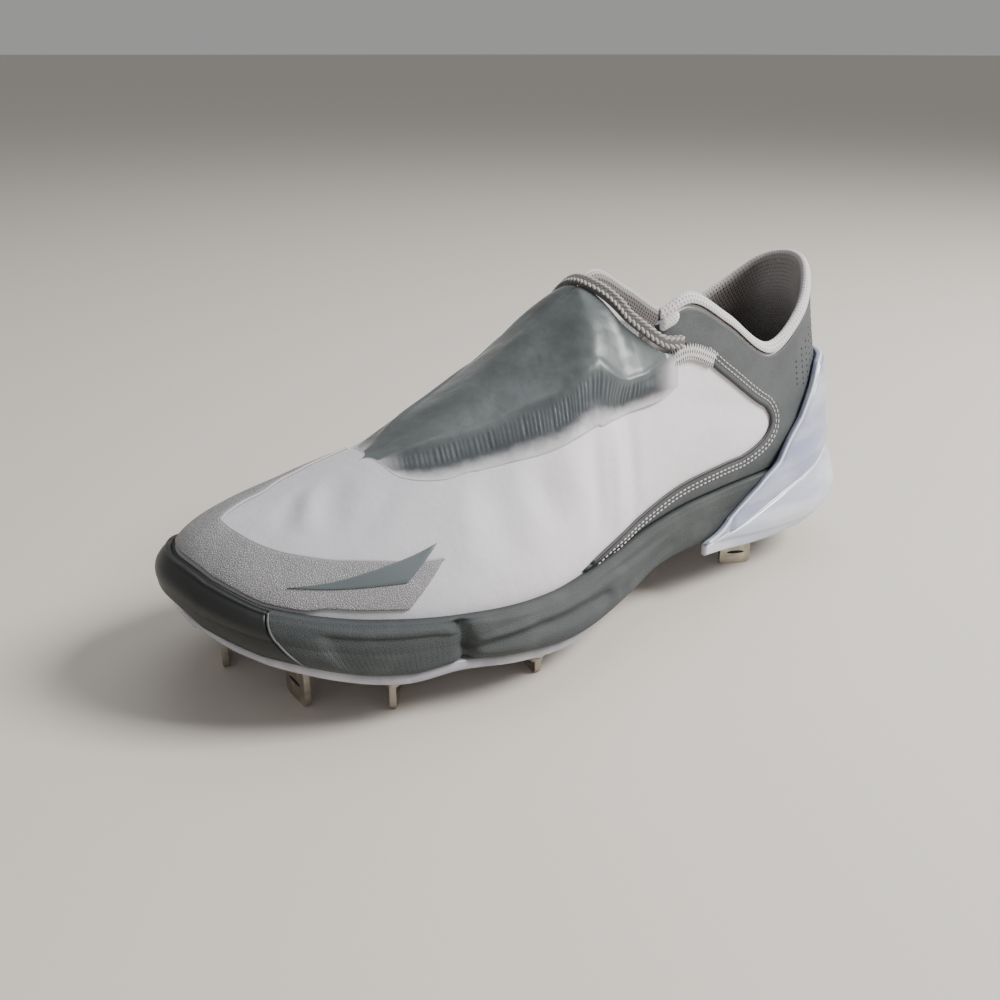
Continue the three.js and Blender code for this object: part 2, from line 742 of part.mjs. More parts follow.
// The small round knit end beside the tongue, over the collar's front corner
function tongueTabShape() {
  const profile = steps(-Math.PI / 2, Math.PI / 2, Math.PI / 6).map(
    (turn) =>
      new THREE.Vector2(
        Math.cos(turn) * TAB_RADIUS,
        Math.sin(turn) * TAB_RADIUS + Math.sign(turn) * (TAB_LENGTH / 2 - TAB_RADIUS),
      ),
  );
  profile[0].x = 0;
  profile.at(-1).x = 0;
  const place = { side: "outer", row: TAB_ROW, v: 1 };
  const behind = formPoint({ ...place, row: TAB_ROW - 0.2 });
  const along = formPoint({ ...place, row: TAB_ROW + 0.2 }).sub(behind).normalize();
  const lying = new THREE.Quaternion().setFromUnitVectors(new THREE.Vector3(0, 1, 0), along);
  const middle = formPoint(place).addScaledVector(formRise(place), TAB_RADIUS + 2 * FIT);
  const tab = new THREE.LatheGeometry(profile, 10);
  return tab.applyQuaternion(lying).translate(middle.x, middle.y, middle.z);
}

function insoleShape() {
  return loftAcross(FULL_ROWS, (side, row) => {
    const inset = UPPER_WALL + FIT;
    const foot = footPoint(side, row).addScaledVector(footOutward(side, row), -inset);
    const v = vAtHeight(side, row, foot.z + INSOLE);
    const top = skinPoint({ side, row, v }, -inset);
    top.z = foot.z + INSOLE;
    return [top, foot];
  });
}

// Levels of the sole at a row of the foot
function solePlace(side, row) {
  const along = alongAt(footPoint(side, row).x);
  const under = soleLevel("under", along);
  return {
    rim: soleLevel("rim_" + side, along),
    under,
    lower: under + PLATE + FIT,
    swell: readingBy(SOLE, "along", "swell", along) * BALL_WIDTH,
    inset: readingBy(SOLE, "along", "inset", along) * BALL_WIDTH,
  };
}

// Rise of the sole for each millimetre towards the toe
function soleSlope(column, side, row) {
  const [behind, ahead] = [Math.max(row - 0.5, 0), row].map((r) => footPoint(side, r));
  const rise = soleLevel(column, alongAt(ahead.x)) - soleLevel(column, alongAt(behind.x));
  return rise / Math.max(behind.x - ahead.x, FIT);
}

// Side of the sole at a height: the upper's form above the feather edge, straight down below it
function besideFoot(side, row, z, lift) {
  const foot = footPoint(side, row);
  if (z > foot.z) {
    const point = skinPoint({ side, row, v: vAtHeight(side, row, z) }, lift);
    return point.setZ(z);
  }
  return foot.addScaledVector(footOutward(side, row), lift).setZ(z);
}

// A point of the midsole's outer face: down runs from its rim (0) to its lower edge (1)
function facePoint(side, row, down, extra = 0) {
  const near = 1 - clamp(Math.abs(row - SEAM_ROW) / 2, 0, 1);
  const leaning = row - SEAM_SLANT * down * down * near;
  const { rim, lower, swell } = solePlace(side, leaning);
  const out = readingBy(FACE, "down", "out", down) * swell;
  const z = mix(rim, lower, down);
  const wall = besideFoot(side, leaning, z, FIT + RIM_LIP);
  return wall.addScaledVector(footOutward(side, leaning), out + extra);
}

function midsoleShape() {
  const seam = [SEAM_ROW, SEAM_ROW + SEAM_STEP];
  const rows = [...FULL_ROWS, ...seam].sort((a, b) => a - b);
  return loftAcross(rows, (side, row) => {
    const foot = footPoint(side, row);
    const { rim } = solePlace(side, row);
    const inset = row > SEAM_ROW ? -BUMPER - FIT : 0;
    const bed = foot.clone().addScaledVector(footOutward(side, row), FIT).setZ(foot.z - FIT);
    const lip = [0, 0.35, 0.7, 1].map((k) => besideFoot(side, row, mix(foot.z, rim, k), FIT));
    return [bed, ...lip, ...FACE.map(({ down }) => facePoint(side, row, down, inset))];
  });
}

function toeBumperShape() {
  const rows = [SEAM_ROW + 2 * SEAM_STEP, ...FULL_ROWS.filter((row) => row > SEAM_ROW)];
  return wallOver(
    bothSides((side) => rows.map((row) => FACE.toReversed().map(({ down }) => ({ side, row, down })))),
    ({ side, row, down }) => facePoint(side, row, down),
    ({ side, row, down }) => facePoint(side, row, down, -BUMPER),
  );
}

function plateShape() {
  const body = loftAcross(FULL_ROWS, (side, row) => {
    const place = solePlace(side, row);
    const { swell, inset } = place;
    const out = footOutward(side, row);
    const under = place.under - Math.max(0, soleSlope("under", side, row)) * TOE_DROP * inset;
    const reach = FIT + RIM_LIP + swell * FACE.at(-1).out - inset;
    const edge = footPoint(side, row).addScaledVector(out, reach);
    return [
      edge.clone().addScaledVector(out, -0.2 * PLATE).setZ(under + PLATE),
      edge.clone().setZ(under + 0.55 * PLATE),
      edge.clone().addScaledVector(out, -0.25 * PLATE).setZ(under + 0.15 * PLATE),
      edge.clone().addScaledVector(out, -0.7 * PLATE).setZ(under),
    ];
  });
  return joined(body, ...SPIKES.map(bossShape));
}

// Place of a spike: on the plate, turned from the shoe's length
function spikePlace({ along, across, turn }) {
  const height = soleLevel("under", along) - BOSS;
  const place = new THREE.Vector3(xAt(along), yAt(across, along), height);
  return { place, turn: THREE.MathUtils.degToRad(turn), height };
}

function bossShape(spike) {
  const { place, turn } = spikePlace(spike);
  const boss = new THREE.CylinderGeometry(0.75, 0.62, BOSS + PLATE / 2, 9);
  boss.rotateX(Math.PI / 2).scale(spike.width, 0.62 * spike.width, 1);
  boss.translate(0, 0, (BOSS + PLATE / 2) / 2);
  return boss.rotateZ(turn).translate(place.x, place.y, place.z);
}

// A spike: a blade with a slanted front edge, on a flat foot that meets its boss
function spikeShape(spike) {
  const { place, turn, height } = spikePlace(spike);
  const top = height - FIT;
  const half = spike.width / 2;
  const blade = new THREE.Shape();
  blade.moveTo(-half * 0.8, 0).lineTo(half * 0.72, 0).quadraticCurveTo(half, 0, half, top * 0.2);
  blade.lineTo(half * 0.92, top).lineTo(-half, top).lineTo(-half, top * 0.25).closePath();
  const plain = { depth: SPIKE_THICKNESS, bevelEnabled: false, curveSegments: 3 };
  const body = new THREE.ExtrudeGeometry(blade, plain);
  body.translate(0, 0, -SPIKE_THICKNESS / 2).rotateX(Math.PI / 2);
  const foot = new THREE.CylinderGeometry(0.55, 0.55, FLANGE, 9);
  foot.rotateX(Math.PI / 2).scale(spike.width, 0.5 * spike.width, 1);
  foot.translate(0, 0, top - FLANGE / 2);
  const shape = joined(body, foot);
  return shape.rotateZ(turn).translate(place.x, place.y, 0);
}

// Outside of the heel at a height: the midsole's face, and above its rim the rear overlay
function heelFace(side, row, z, extra) {
  const { rim, lower } = solePlace(side, row);
  if (z <= rim) return facePoint(side, row, (rim - z) / (rim - lower), extra);
  const lift = mix(FIT + RIM_LIP, OVERLAY + FIT, ease(z, rim, rim + 4 * RIM_LIP));
  return besideFoot(side, row, z, lift + extra);
}

const heelLevel = (column, row) => HEEL_STACK * readingBy(HEEL, "row", column, row);
const heelRows = [...FULL_ROWS.filter((row) => row < HEEL_FRONT), HEEL_FRONT];

function heelCounterShape() {
  const patch = (side) =>
    heelRows.map((row) =>
      steps(0, 1, 1 / 4).map((t) => {
        const crease = heelLevel("crease", row) + FIT;
        return { side, row, z: mix(crease, Math.max(crease, heelLevel("top", row)), t) };
      }),
    );
  return wallOver(
    bothSides(patch),
    ({ side, row, z }) => heelFace(side, row, z, HEEL_FIT + COUNTER),
    ({ side, row, z }) => heelFace(side, row, z, HEEL_FIT),
  );
}

function heelCushionShape() {
  const patch = (side) =>
    heelRows.map((row) =>
      steps(0, 1, 1 / 6).map((t) => {
        const z = mix(solePlace(side, row).lower - PLATE, heelLevel("crease", row), t);
        return { side, row, z, t };
      }),
    );
  const bulge = (row, t) => Math.sin(Math.PI * t ** 0.8) * (1 - ease(row, 0.5, HEEL_FRONT));
  const swell = ({ row, t }) => CUSHION_WALL + (CUSHION_REACH - CUSHION_WALL) * bulge(row, t);
  return wallOver(
    bothSides(patch),
    (place) => heelFace(place.side, place.row, place.z, HEEL_FIT + swell(place)),
    (place) => heelFace(place.side, place.row, place.z, HEEL_FIT),
  );
}

// Finishes
function finish(color, roughness, more = {}) {
  return new THREE.MeshStandardMaterial({ color, roughness, metalness: 0, ...more });
}

const materials = {
  upper: finish("#cfccd2", 0.75),
  knit: finish("#b3aeac", 0.95),
  cover: finish("#6f7a7c", 0.55),
  foam: finish("#565e60", 0.85),
  rubber: finish("#454c4d", 0.6),
  clear: finish("#d9deea", 0.25, { transparent: true, opacity: 0.6 }),
  steel: finish("#a39d90", 0.35, { metalness: 0.9 }),
  footbed: finish("#6a6d70", 0.9),
};

function piece(name, shape, material) {
  const mesh = new THREE.Mesh(shape, materials[material].clone());
  mesh.name = name;
  return mesh;
}

const cleat = new THREE.Group();
cleat.add(
  piece("plate", plateShape(), "clear"),
  piece("midsole", midsoleShape(), "foam"),
  piece("toe_bumper", toeBumperShape(), "rubber"),
  piece("insole", insoleShape(), "footbed"),
  piece("upper", upperShape(), "upper"),
  piece("collar_roll", collarRollShape(), "knit"),
  piece("tongue", tongueShape(), "knit"),
  piece("tongue_tab", tongueTabShape(), "knit"),
  piece("lace_cover", laceCoverShape(), "cover"),
  piece("cover_binding", coverBindingShape(), "knit"),
  piece("heel_counter", heelCounterShape(), "clear"),
  piece("heel_cushion", heelCushionShape(), "clear"),
  ...SPIKES.map((spike) => piece(spike.name, spikeShape(spike), "steel")),
);

export default cleat;
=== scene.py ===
# %% [markdown]
# # A baseball cleat, built up the way a shoemaker would
# The shoe is a moulded textile upper with a stretch cover over its lacing, a foam midsole with a rubber
# bumper, a clear plate with metal spikes, and clear mouldings round the heel. The solid model of the shoe is
# loaded first. Every piece below is drawn finely over that model, in the same frame and in metres.

# %% Load the solid model
import math

import bmesh
import bpy
import numpy as np
from mathutils import Matrix


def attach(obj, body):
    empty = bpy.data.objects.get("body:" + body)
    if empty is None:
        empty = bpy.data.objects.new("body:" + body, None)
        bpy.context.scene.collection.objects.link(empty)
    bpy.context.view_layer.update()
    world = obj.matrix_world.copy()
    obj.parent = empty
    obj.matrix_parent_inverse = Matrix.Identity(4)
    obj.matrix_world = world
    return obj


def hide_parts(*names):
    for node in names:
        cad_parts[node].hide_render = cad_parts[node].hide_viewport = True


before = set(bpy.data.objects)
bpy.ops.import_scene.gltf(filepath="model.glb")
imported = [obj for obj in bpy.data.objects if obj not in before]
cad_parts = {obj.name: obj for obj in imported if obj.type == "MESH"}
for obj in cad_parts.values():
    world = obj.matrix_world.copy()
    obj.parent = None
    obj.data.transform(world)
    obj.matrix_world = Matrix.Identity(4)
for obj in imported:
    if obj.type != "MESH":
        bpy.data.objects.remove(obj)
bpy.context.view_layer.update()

MM = 0.001

# %% [markdown]
# ## The last
# A shoe is pulled over a last, so one smooth form gives the place of every panel. It is described by
# sections: each runs from the feather edge, where upper meets sole, up to the top of the foot. A place on the
# form is a side, a row (0 at the heel, 15 at the toe tip) and a rise (0 at the sole, 1 at the top). The tables
# hold shares of a few named sizes, so a panel can be laid out by hand in the shoe's own terms.

# %% Sizes and tables of the last
LENGTH = 268 * MM
BALL_WIDTH = 96 * MM
HEEL_WIDTH = 65 * MM
COLLAR_HEIGHT = 115 * MM
INSTEP_HEIGHT = 117 * MM
HEEL_STACK = 34 * MM
MIDDLE = 0.476
MIDLINE = 2.7 * MM
LOW_SHARE = 0.36
WALL = 2.0 * MM
OVERLAY = 1.0 * MM
FIT = 0.35 * MM
OTHER = {"outer": "inner", "inner": "outer"}


def table(names, *rows):
    """Rows of numbers as named columns."""
    return {name: np.array([row[i] for row in rows], float) for i, name in enumerate(names.split())}


SECTION = "along across belly spread drop"
SIDES = {
    "outer": table(
        SECTION,
        (0.0, 0.0, 0.075, 0.3, 0.42),
        (0.018, -0.27, 0.07, 0.25, 0.42),
        (0.07, -0.425, 0.06, 0.22, 0.42),
        (0.16, -0.485, 0.055, 0.2, 0.42),
        (0.26, -0.475, 0.055, 0.2, 0.4),
        (0.345, -0.445, 0.06, 0.25, 0.36),
        (0.41, -0.44, 0.065, 0.32, 0.3),
        (0.465, -0.455, 0.07, 0.42, 0.16),
        (0.52, -0.475, 0.07, 0.55, 0.0),
        (0.6, -0.505, 0.06, 0.62, 0.0),
        (0.69, -0.505, 0.05, 0.66, 0.0),
        (0.78, -0.475, 0.04, 0.68, 0.0),
        (0.86, -0.39, 0.035, 0.7, 0.0),
        (0.93, -0.265, 0.03, 0.7, 0.0),
        (0.97, -0.1, 0.025, 0.7, 0.0),
        (0.988, 0.1, 0.02, 0.7, 0.0),
    ),
    "inner": table(
        SECTION,
        (0.0, 0.0, 0.075, 0.3, 0.42),
        (0.018, 0.27, 0.07, 0.25, 0.42),
        (0.07, 0.425, 0.06, 0.22, 0.42),
        (0.16, 0.475, 0.055, 0.2, 0.42),
        (0.26, 0.44, 0.06, 0.2, 0.4),
        (0.345, 0.38, 0.075, 0.25, 0.36),
        (0.41, 0.34, 0.085, 0.32, 0.3),
        (0.465, 0.33, 0.085, 0.42, 0.16),
        (0.52, 0.345, 0.08, 0.55, 0.0),
        (0.6, 0.395, 0.065, 0.62, 0.0),
        (0.69, 0.455, 0.05, 0.66, 0.0),
        (0.78, 0.47, 0.04, 0.68, 0.0),
        (0.86, 0.445, 0.035, 0.7, 0.0),
        (0.93, 0.375, 0.03, 0.7, 0.0),
        (0.97, 0.26, 0.025, 0.7, 0.0),
        (0.988, 0.1, 0.02, 0.7, 0.0),
    ),
}
TOPLINE = table(
    "along outer inner outer_high inner_high",
    (0.012, 0.0, 0.0, 1.0, 1.0),
    (0.03, -0.2, 0.2, 0.97, 0.97),
    (0.08, -0.36, 0.36, 0.86, 0.865),
    (0.16, -0.43, 0.43, 0.765, 0.78),
    (0.25, -0.42, 0.42, 0.885, 0.885),
    (0.315, -0.37, 0.38, 0.96, 0.955),
    (0.365, -0.32, 0.34, 0.915, 0.915),
    (0.4, -0.19, 0.23, 0.92, 0.925),
    (0.42, 0.02, 0.02, 0.975, 0.975),
)
RIDGE = table(
    "along across high",
    (0.42, 0.02, 0.975),
    (0.5, 0.035, 0.854),
    (0.6, 0.05, 0.708),
    (0.69, 0.06, 0.615),
    (0.77, 0.065, 0.565),
    (0.835, 0.07, 0.532),
    (0.885, 0.07, 0.508),
    (0.915, 0.07, 0.495),
)
SOLE = table(
    "along under bed rim_outer rim_inner swell inset",
    (0.0, 0.49, 0.97, 1.33, 1.33, 0.02, 0.03),
    (0.1, 0.435, 0.97, 1.29, 1.29, 0.02, 0.03),
    (0.2, 0.45, 0.965, 1.245, 1.26, 0.025, 0.04),
    (0.3, 0.52, 0.935, 1.18, 1.24, 0.03, 0.08),
    (0.4, 0.47, 0.865, 1.075, 1.2, 0.04, 0.08),
    (0.5, 0.335, 0.775, 0.955, 1.1, 0.06, 0.01),
    (0.58, 0.29, 0.735, 0.9, 1.03, 0.07, 0.0),
    (0.66, 0.335, 0.71, 0.91, 1.0, 0.06, 0.0),
    (0.735, 0.42, 0.72, 0.97, 1.02, 0.035, 0.0),
    (0.8, 0.42, 0.77, 1.035, 1.05, 0.05, 0.0),
    (0.86, 0.5, 0.84, 1.1, 1.1, 0.045, 0.01),
    (0.93, 0.67, 0.99, 1.22, 1.22, 0.03, 0.025),
    (0.97, 0.82, 1.09, 1.36, 1.36, 0.02, 0.03),
    (0.988, 0.95, 1.14, 1.43, 1.43, 0.01, 0.03),
)
ROWS = len(SIDES["outer"]["along"]) - 1
TONGUE_ROW = len(TOPLINE["along"]) - 1
print("the last:", ROWS, "sections a side")

# %% [markdown]
# ## Reading the tables
# Straight reading between rows would leave a corner at each section. A Catmull-Rom curve passes through every
# row and stays smooth, which suits a last. All the readings below take whole arrays, so that a panel of ten
# thousand points is worked out at once.


# %% Smooth readings
def ease(value, low, high):
    """0 below low, 1 above high, and a smooth rise between."""
    t = np.clip((value - low) / (high - low), 0, 1)
    return t * t * (3 - 2 * t)


def through(a, b, c, d, t):
    u = 1 - t
    flat = b * (1 + 2 * t) * u * u + c * t * t * (3 - 2 * t)
    return flat + (c - a) / 2 * t * u * u - (d - b) / 2 * t * t * u


def reading(column, at, before=None, after=None):
    """A column at a counted row. before and after are the values past its ends."""
    first = column[0] if before is None else before
    last = column[-1] if after is None else after
    values = np.concatenate([[first], column, [last]])
    at = np.asarray(at, float)
    i = np.clip(np.floor(at).astype(int), 0, len(column) - 2)
    return through(values[i], values[i + 1], values[i + 2], values[i + 3], at - i)


def read_by(rows, key, column, value, straight=False):
    """The same by the value in the key column."""
    keys, values = rows[key], rows[column]
    value = np.asarray(value, float)
    i = np.clip(np.searchsorted(keys, value) - 1, 0, len(keys) - 2)
    t = np.clip((value - keys[i]) / (keys[i + 1] - keys[i]), 0, 1)
    return (1 - t) * values[i] + t * values[i + 1] if straight else reading(values, i + t)


def unit(vectors):
    return vectors / np.maximum(np.linalg.norm(vectors, axis=-1, keepdims=True), 1e-12)


def points(x, y, z):
    return np.stack(np.broadcast_arrays(x, y, z), axis=-1)


def x_at(along):
    return (MIDDLE - along) * LENGTH


def y_at(across, along):
    return across * (HEEL_WIDTH + (BALL_WIDTH - HEEL_WIDTH) * ease(along, 0.15, 0.65)) + MIDLINE


def sole_level(column, along):
    return HEEL_STACK * read_by(SOLE, "along", column, np.clip(along, 0, 1))


# %% [markdown]
# ## The form itself
# Each section is one Bézier curve: out of the feather edge over a belly, and over a shoulder to the top. The
# normal comes from the curve's own direction and a small step along the foot. With those two, "a sheet
# of 1 mm lying on the last" is just the form moved out by 1 mm, which is how every panel is made.


# %% The form
def section(side, column, row):
    own, other = SIDES[side][column], SIDES[OTHER[side]][column]
    return reading(own, row, other[1], other[ROWS - 1])


def foot(side, row):
    """The feather edge."""
    along = section(side, "along", row)
    return points(x_at(along), y_at(section(side, "across", row), along), sole_level("bed", along) + FIT)


def either(function, side, row, *more):
    """Past the heel centre or the toe tip, one side goes on as the other."""
    row = np.asarray(row, float)
    beyond = (row < 0) | (row > ROWS)
    mirrored = np.clip(np.where(row < 0, -row, 2 * ROWS - row), 0, ROWS)
    own = function(side, np.clip(row, 0, ROWS), *more)
    return np.where(beyond[..., None], function(OTHER[side], mirrored, *more), own)


def foot_out(side, row):
    """Level outward direction of the feather edge."""
    ahead = either(foot, side, row + 0.02) - either(foot, side, row - 0.02)
    turn = -1 if side == "outer" else 1
    return unit(points(turn * ahead[..., 1], -turn * ahead[..., 0], 0 * ahead[..., 0]))


def top(side, row):
    """The edge of the opening, and past the middle of the tongue the ridge of the foot."""
    row = np.asarray(row, float)
    on_ridge = np.maximum(row - TONGUE_ROW, 0)
    ridge_along = reading(RIDGE["along"], on_ridge)
    ridge_high = reading(RIDGE["high"], on_ridge) * INSTEP_HEIGHT
    ridge = points(x_at(ridge_along), y_at(reading(RIDGE["across"], on_ridge), ridge_along), ridge_high)
    at = np.minimum(row, TONGUE_ROW)
    other = OTHER[side]
    line = lambda own, past: reading(TOPLINE[own], at, TOPLINE[past][1], TOPLINE[past][-2])
    along = line("along", "along")
    height = COLLAR_HEIGHT + (INSTEP_HEIGHT - COLLAR_HEIGHT) * ease(row, 3, 6)
    edge = points(
        x_at(along), y_at(line(side, other), along), line(side + "_high", other + "_high") * height
    )
    return np.where((row >= TONGUE_ROW)[..., None], ridge, edge)


def section_curve(side, row):
    """The four corners of the curve that a section follows."""
    start, end = foot(side, row), top(side, row)
    rise = end[..., 2] - start[..., 2]
    low = start + foot_out(side, row) * (section(side, "belly", row) * BALL_WIDTH)[..., None]
    low[..., 2] += rise * LOW_SHARE
    spread = section(side, "spread", row)[..., None]
    high = end + (low - end) * spread
    high[..., 2] = end[..., 2] - rise * np.maximum(0, section(side, "drop", row))
    near = np.clip(row, TONGUE_ROW, ROWS - 0.05)
    behind, ahead = top("outer", near), top("outer", near + 0.05)
    slope = (behind[..., 2] - ahead[..., 2]) / (behind[..., 0] - ahead[..., 0])
    lean = np.where(row < TONGUE_ROW, 0, slope) * ease(row, TONGUE_ROW, TONGUE_ROW + 1)
    high[..., 2] += lean * (high[..., 0] - end[..., 0])
    return start, low, high, end


def form(side, row, v):
    a, b, c, d = section_curve(side, np.asarray(row, float))
    v = np.asarray(v, float)[..., None]
    u = 1 - v
    return a * u**3 + 3 * b * u * u * v + 3 * c * u * v * v + d * v**3


def rise_of(side, row, v):
    a, b, c, d = section_curve(side, np.asarray(row, float))
    v = np.asarray(v, float)[..., None]
    u = 1 - v
    return unit((b - a) * u * u + 2 * (c - b) * u * v + (d - c) * v * v)


def side_normal(side, row, v):
    row, v = np.broadcast_arrays(np.asarray(row, float), np.asarray(v, float))
    level = np.where((row > ROWS - 0.5) | (row < 0.5), np.minimum(v, 0.96), v)
    step = 0.04
    behind = np.where((row >= TONGUE_ROW) & (row - step < TONGUE_ROW), row, row - step)
    forward = either(form, side, row + step, level) - either(form, side, behind, level)
    rise = rise_of(side, row, level)
    return unit(np.cross(rise, forward) if side == "outer" else np.cross(forward, rise))


def normal_of(side, row, v):
    """Outward direction of the form. The two sides share it near the ridge."""
    row, v = np.broadcast_arrays(np.asarray(row, float), np.asarray(v, float))
    own = side_normal(side, row, v)
    shared = unit(own + side_normal(OTHER[side], row, v))
    share = np.where(row >= TONGUE_ROW, ease(v, 0.9, 1.0), 0)[..., None]
    return unit(own + (shared - own) * share)


def skin(side, row, v, lift):
    return form(side, row, v) + normal_of(side, row, v) * np.asarray(lift)[..., None]


def v_at_height(side, row, z):
    """The rise at which a section passes a height."""
    row, z = np.broadcast_arrays(np.asarray(row, float), np.asarray(z, float))
    low, high = np.zeros(row.shape), np.ones(row.shape)
    for _ in range(18):
        v = (low + high) / 2
        below = form(side, row, v)[..., 2] < z
        low, high = np.where(below, v, low), np.where(below, high, v)
    return low


print("ball of the foot, outer edge:", np.round(foot("outer", 9.5) / MM, 1), "mm")

# %% [markdown]
# ## From sheets to meshes
# A piece of cloth or rubber has two faces and an edge. `wall` takes patches of places on the form, lays one
# face outside and one inside, and closes the border between them, so that every piece is a closed body. A
# modifier such as Solidify could do this too, but it can't taper a sheet to nothing.

# %% Making closed sheets
WELD = 1e-6
RISE_MM = 78.0
ROW_MM = 17.0


GIRTH_ROWS = np.linspace(0, ROWS, 151)
GIRTH = {}
for side in OTHER:
    line = form(side, GIRTH_ROWS, 0.8)
    GIRTH[side] = np.concatenate([[0], np.cumsum(np.linalg.norm(np.diff(line, axis=0), axis=1))]) / MM


class Patch:
    """Places on one side: a grid of rows and rises, with shares s along the rows and k up the rise.
    girth and climb are millimetres along and up, for regular patterns."""

    def __init__(self, side, row, v, s, k, climb=None):
        self.side = side
        climb = v * RISE_MM if climb is None else climb
        self.row, self.v, self.s, self.k, self.climb = np.broadcast_arrays(row, v, s, k, climb)
        self.girth = np.interp(self.row, GIRTH_ROWS, GIRTH[side]) * (1 if side == "outer" else -1)


def patch_between(side, rows, low, high, count):
    s = np.linspace(0, 1, len(rows))[:, None]
    k = np.linspace(0, 1, count + 1)[None, :]
    row = np.asarray(rows, float)[:, None]
    return Patch(side, row, low(side, row) * (1 - k) + high(side, row) * k, s, k)


def both(patch_for):
    return [patch_for("outer"), patch_for("inner")]


def new_piece(name, vertices, faces, material, attributes=None, flat=False):
    """A mesh object with its faces turned outwards, riding on the shoe's one body."""
    mesh = bpy.data.meshes.new(name)
    mesh.from_pydata(np.asarray(vertices).tolist(), [], faces)
    for key, values in (attributes or {}).items():
        mesh.attributes.new(key, "FLOAT", "POINT").data.foreach_set("value", np.asarray(values, np.float32))
    work = bmesh.new()
    work.from_mesh(mesh)
    bmesh.ops.recalc_face_normals(work, faces=work.faces)
    work.to_mesh(mesh)
    work.free()
    mesh.polygons.foreach_set("use_smooth", [not flat] * len(mesh.polygons))
    made = bpy.data.objects.new(name, mesh)
    bpy.context.scene.collection.objects.link(made)
    made.data.materials.append(material)
    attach(made, "root")
    return made


def grid_faces(numbers):
    """Four-cornered faces between neighbouring corner numbers, with doubled corners dropped."""
    a, b = numbers[:-1, :-1].ravel(), numbers[1:, :-1].ravel()
    c, d = numbers[1:, 1:].ravel(), numbers[:-1, 1:].ravel()
    faces = []
    for quad in np.stack([a, b, c, d], axis=-1).tolist():
        corners = [n for i, n in enumerate(quad) if n != quad[i - 1]]
        if len(corners) > 2:
            faces.append(corners)
    return faces


def welded(positions):
    keys = np.round(positions / WELD).astype(np.int64)
    _, first, number = np.unique(keys, axis=0, return_index=True, return_inverse=True)
    return first, number.ravel()


def wall(name, patches, outside, inside, material):
    """A closed sheet: outside and inside give the two faces' points for a patch."""
    front = np.concatenate([outside(p).reshape(-1, 3) for p in patches])
    back = np.concatenate([inside(p).reshape(-1, 3) for p in patches])
    first, number = welded(front)
    faces, start = [], 0
    for p in patches:
        numbers = number[start : start + p.row.size].reshape(p.row.shape)
        faces += grid_faces(numbers if p.side == "outer" else numbers[:, ::-1])
        start += p.row.size
    count = len(first)
    edges = {}
    for face in faces:
        for i, corner in enumerate(face):
            if edges.pop((corner, face[i - 1]), None) is None:
                edges[(face[i - 1], corner)] = True
    closed = faces + [[n + count for n in reversed(face)] for face in faces]
    closed += [[q, p, p + count, q + count] for p, q in edges]
    attributes = {}
    for key in ("row", "v", "s", "k", "girth", "climb"):
        values = np.concatenate([getattr(p, key).ravel() for p in patches])[first]
        attributes["foot_" + key] = np.tile(values, 2)
    return new_piece(name, np.concatenate([front[first], back[first]]), closed, material, attributes)


def loft(name, rows, edge_at, material, attributes_at=None):
    """A closed body through sections across the foot. edge_at gives one side's points from top to bottom."""
    edges = {side: edge_at(side, np.asarray(rows, float)) for side in OTHER}
    upper = (edges["outer"][:, :1] + edges["inner"][:, :1]) / 2
    lower = (edges["outer"][:, -1:] + edges["inner"][:, -1:]) / 2
    lines = [np.concatenate([upper, edges[side], lower], axis=1) for side in OTHER]
    first, number = welded(np.concatenate([line.reshape(-1, 3) for line in lines]))
    shape = lines[0].shape[:2]
    size = shape[0] * shape[1]
    faces = grid_faces(number[:size].reshape(shape)) + grid_faces(number[size:].reshape(shape)[:, ::-1])
    everything = np.concatenate([line.reshape(-1, 3) for line in lines])[first]
    attributes = {}
    if attributes_at:
        for key, value in attributes_at(np.asarray(rows, float), shape).items():
            attributes[key] = np.tile(value.ravel(), 2)[first]
    return new_piece(name, everything, faces, material, attributes)


def bar(name, rings, material):
    """A closed bar through rings of equal length, an array of (ring, point, 3)."""
    count, sides = rings.shape[:2]
    numbers = np.arange(count * sides).reshape(count, sides)
    faces = grid_faces(np.concatenate([numbers, numbers[:, :1]], axis=1))
    faces += [numbers[0].tolist(), numbers[-1][::-1].tolist()]
    middle = rings.mean(axis=1)
    girth = np.concatenate([[0], np.cumsum(np.linalg.norm(np.diff(middle, axis=0), axis=1))]) / MM
    middle_ring = rings[count // 2]
    step = np.diff(middle_ring, axis=0, prepend=middle_ring[:1])
    climb = np.cumsum(np.linalg.norm(step, axis=1)) / MM
    attributes = {"foot_girth": np.repeat(girth, sides), "foot_climb": np.tile(climb, count)}
    return new_piece(name, rings.reshape(-1, 3), faces, material, attributes)


# %% [markdown]
# ## Threads, dots and knit loops
# Stitching is what tells a viewer how large a shoe is. Each stitch is a small rounded grain of thread, laid
# along a seam at an even spacing. Hundreds of them are joined into one mesh, built by repeating one template
# with arrays, which is far quicker than adding hundreds of objects.


# %% Small repeats in one mesh
def evenly(path, spacing, offset=0.5):
    """Indices, as fractions, of points at an even spacing along a fine path."""
    lengths = np.concatenate([[0], np.cumsum(np.linalg.norm(np.diff(path, axis=0), axis=1))])
    count = max(2, int(lengths[-1] / spacing))
    wanted = (np.arange(count) + offset) * lengths[-1] / count
    return np.interp(wanted, lengths, np.arange(len(path)))


def sample(values, at):
    i = np.clip(np.floor(at).astype(int), 0, len(values) - 2)
    t = (at - i)[:, None]
    return values[i] * (1 - t) + values[i + 1] * t


GRAIN_RINGS = table(
    "along round",
    (-0.5, 0.0),
    (-0.42, 0.62),
    (-0.2, 1.0),
    (0.2, 1.0),
    (0.42, 0.62),
    (0.5, 0.0),
)
GRAIN_SIDES = 8


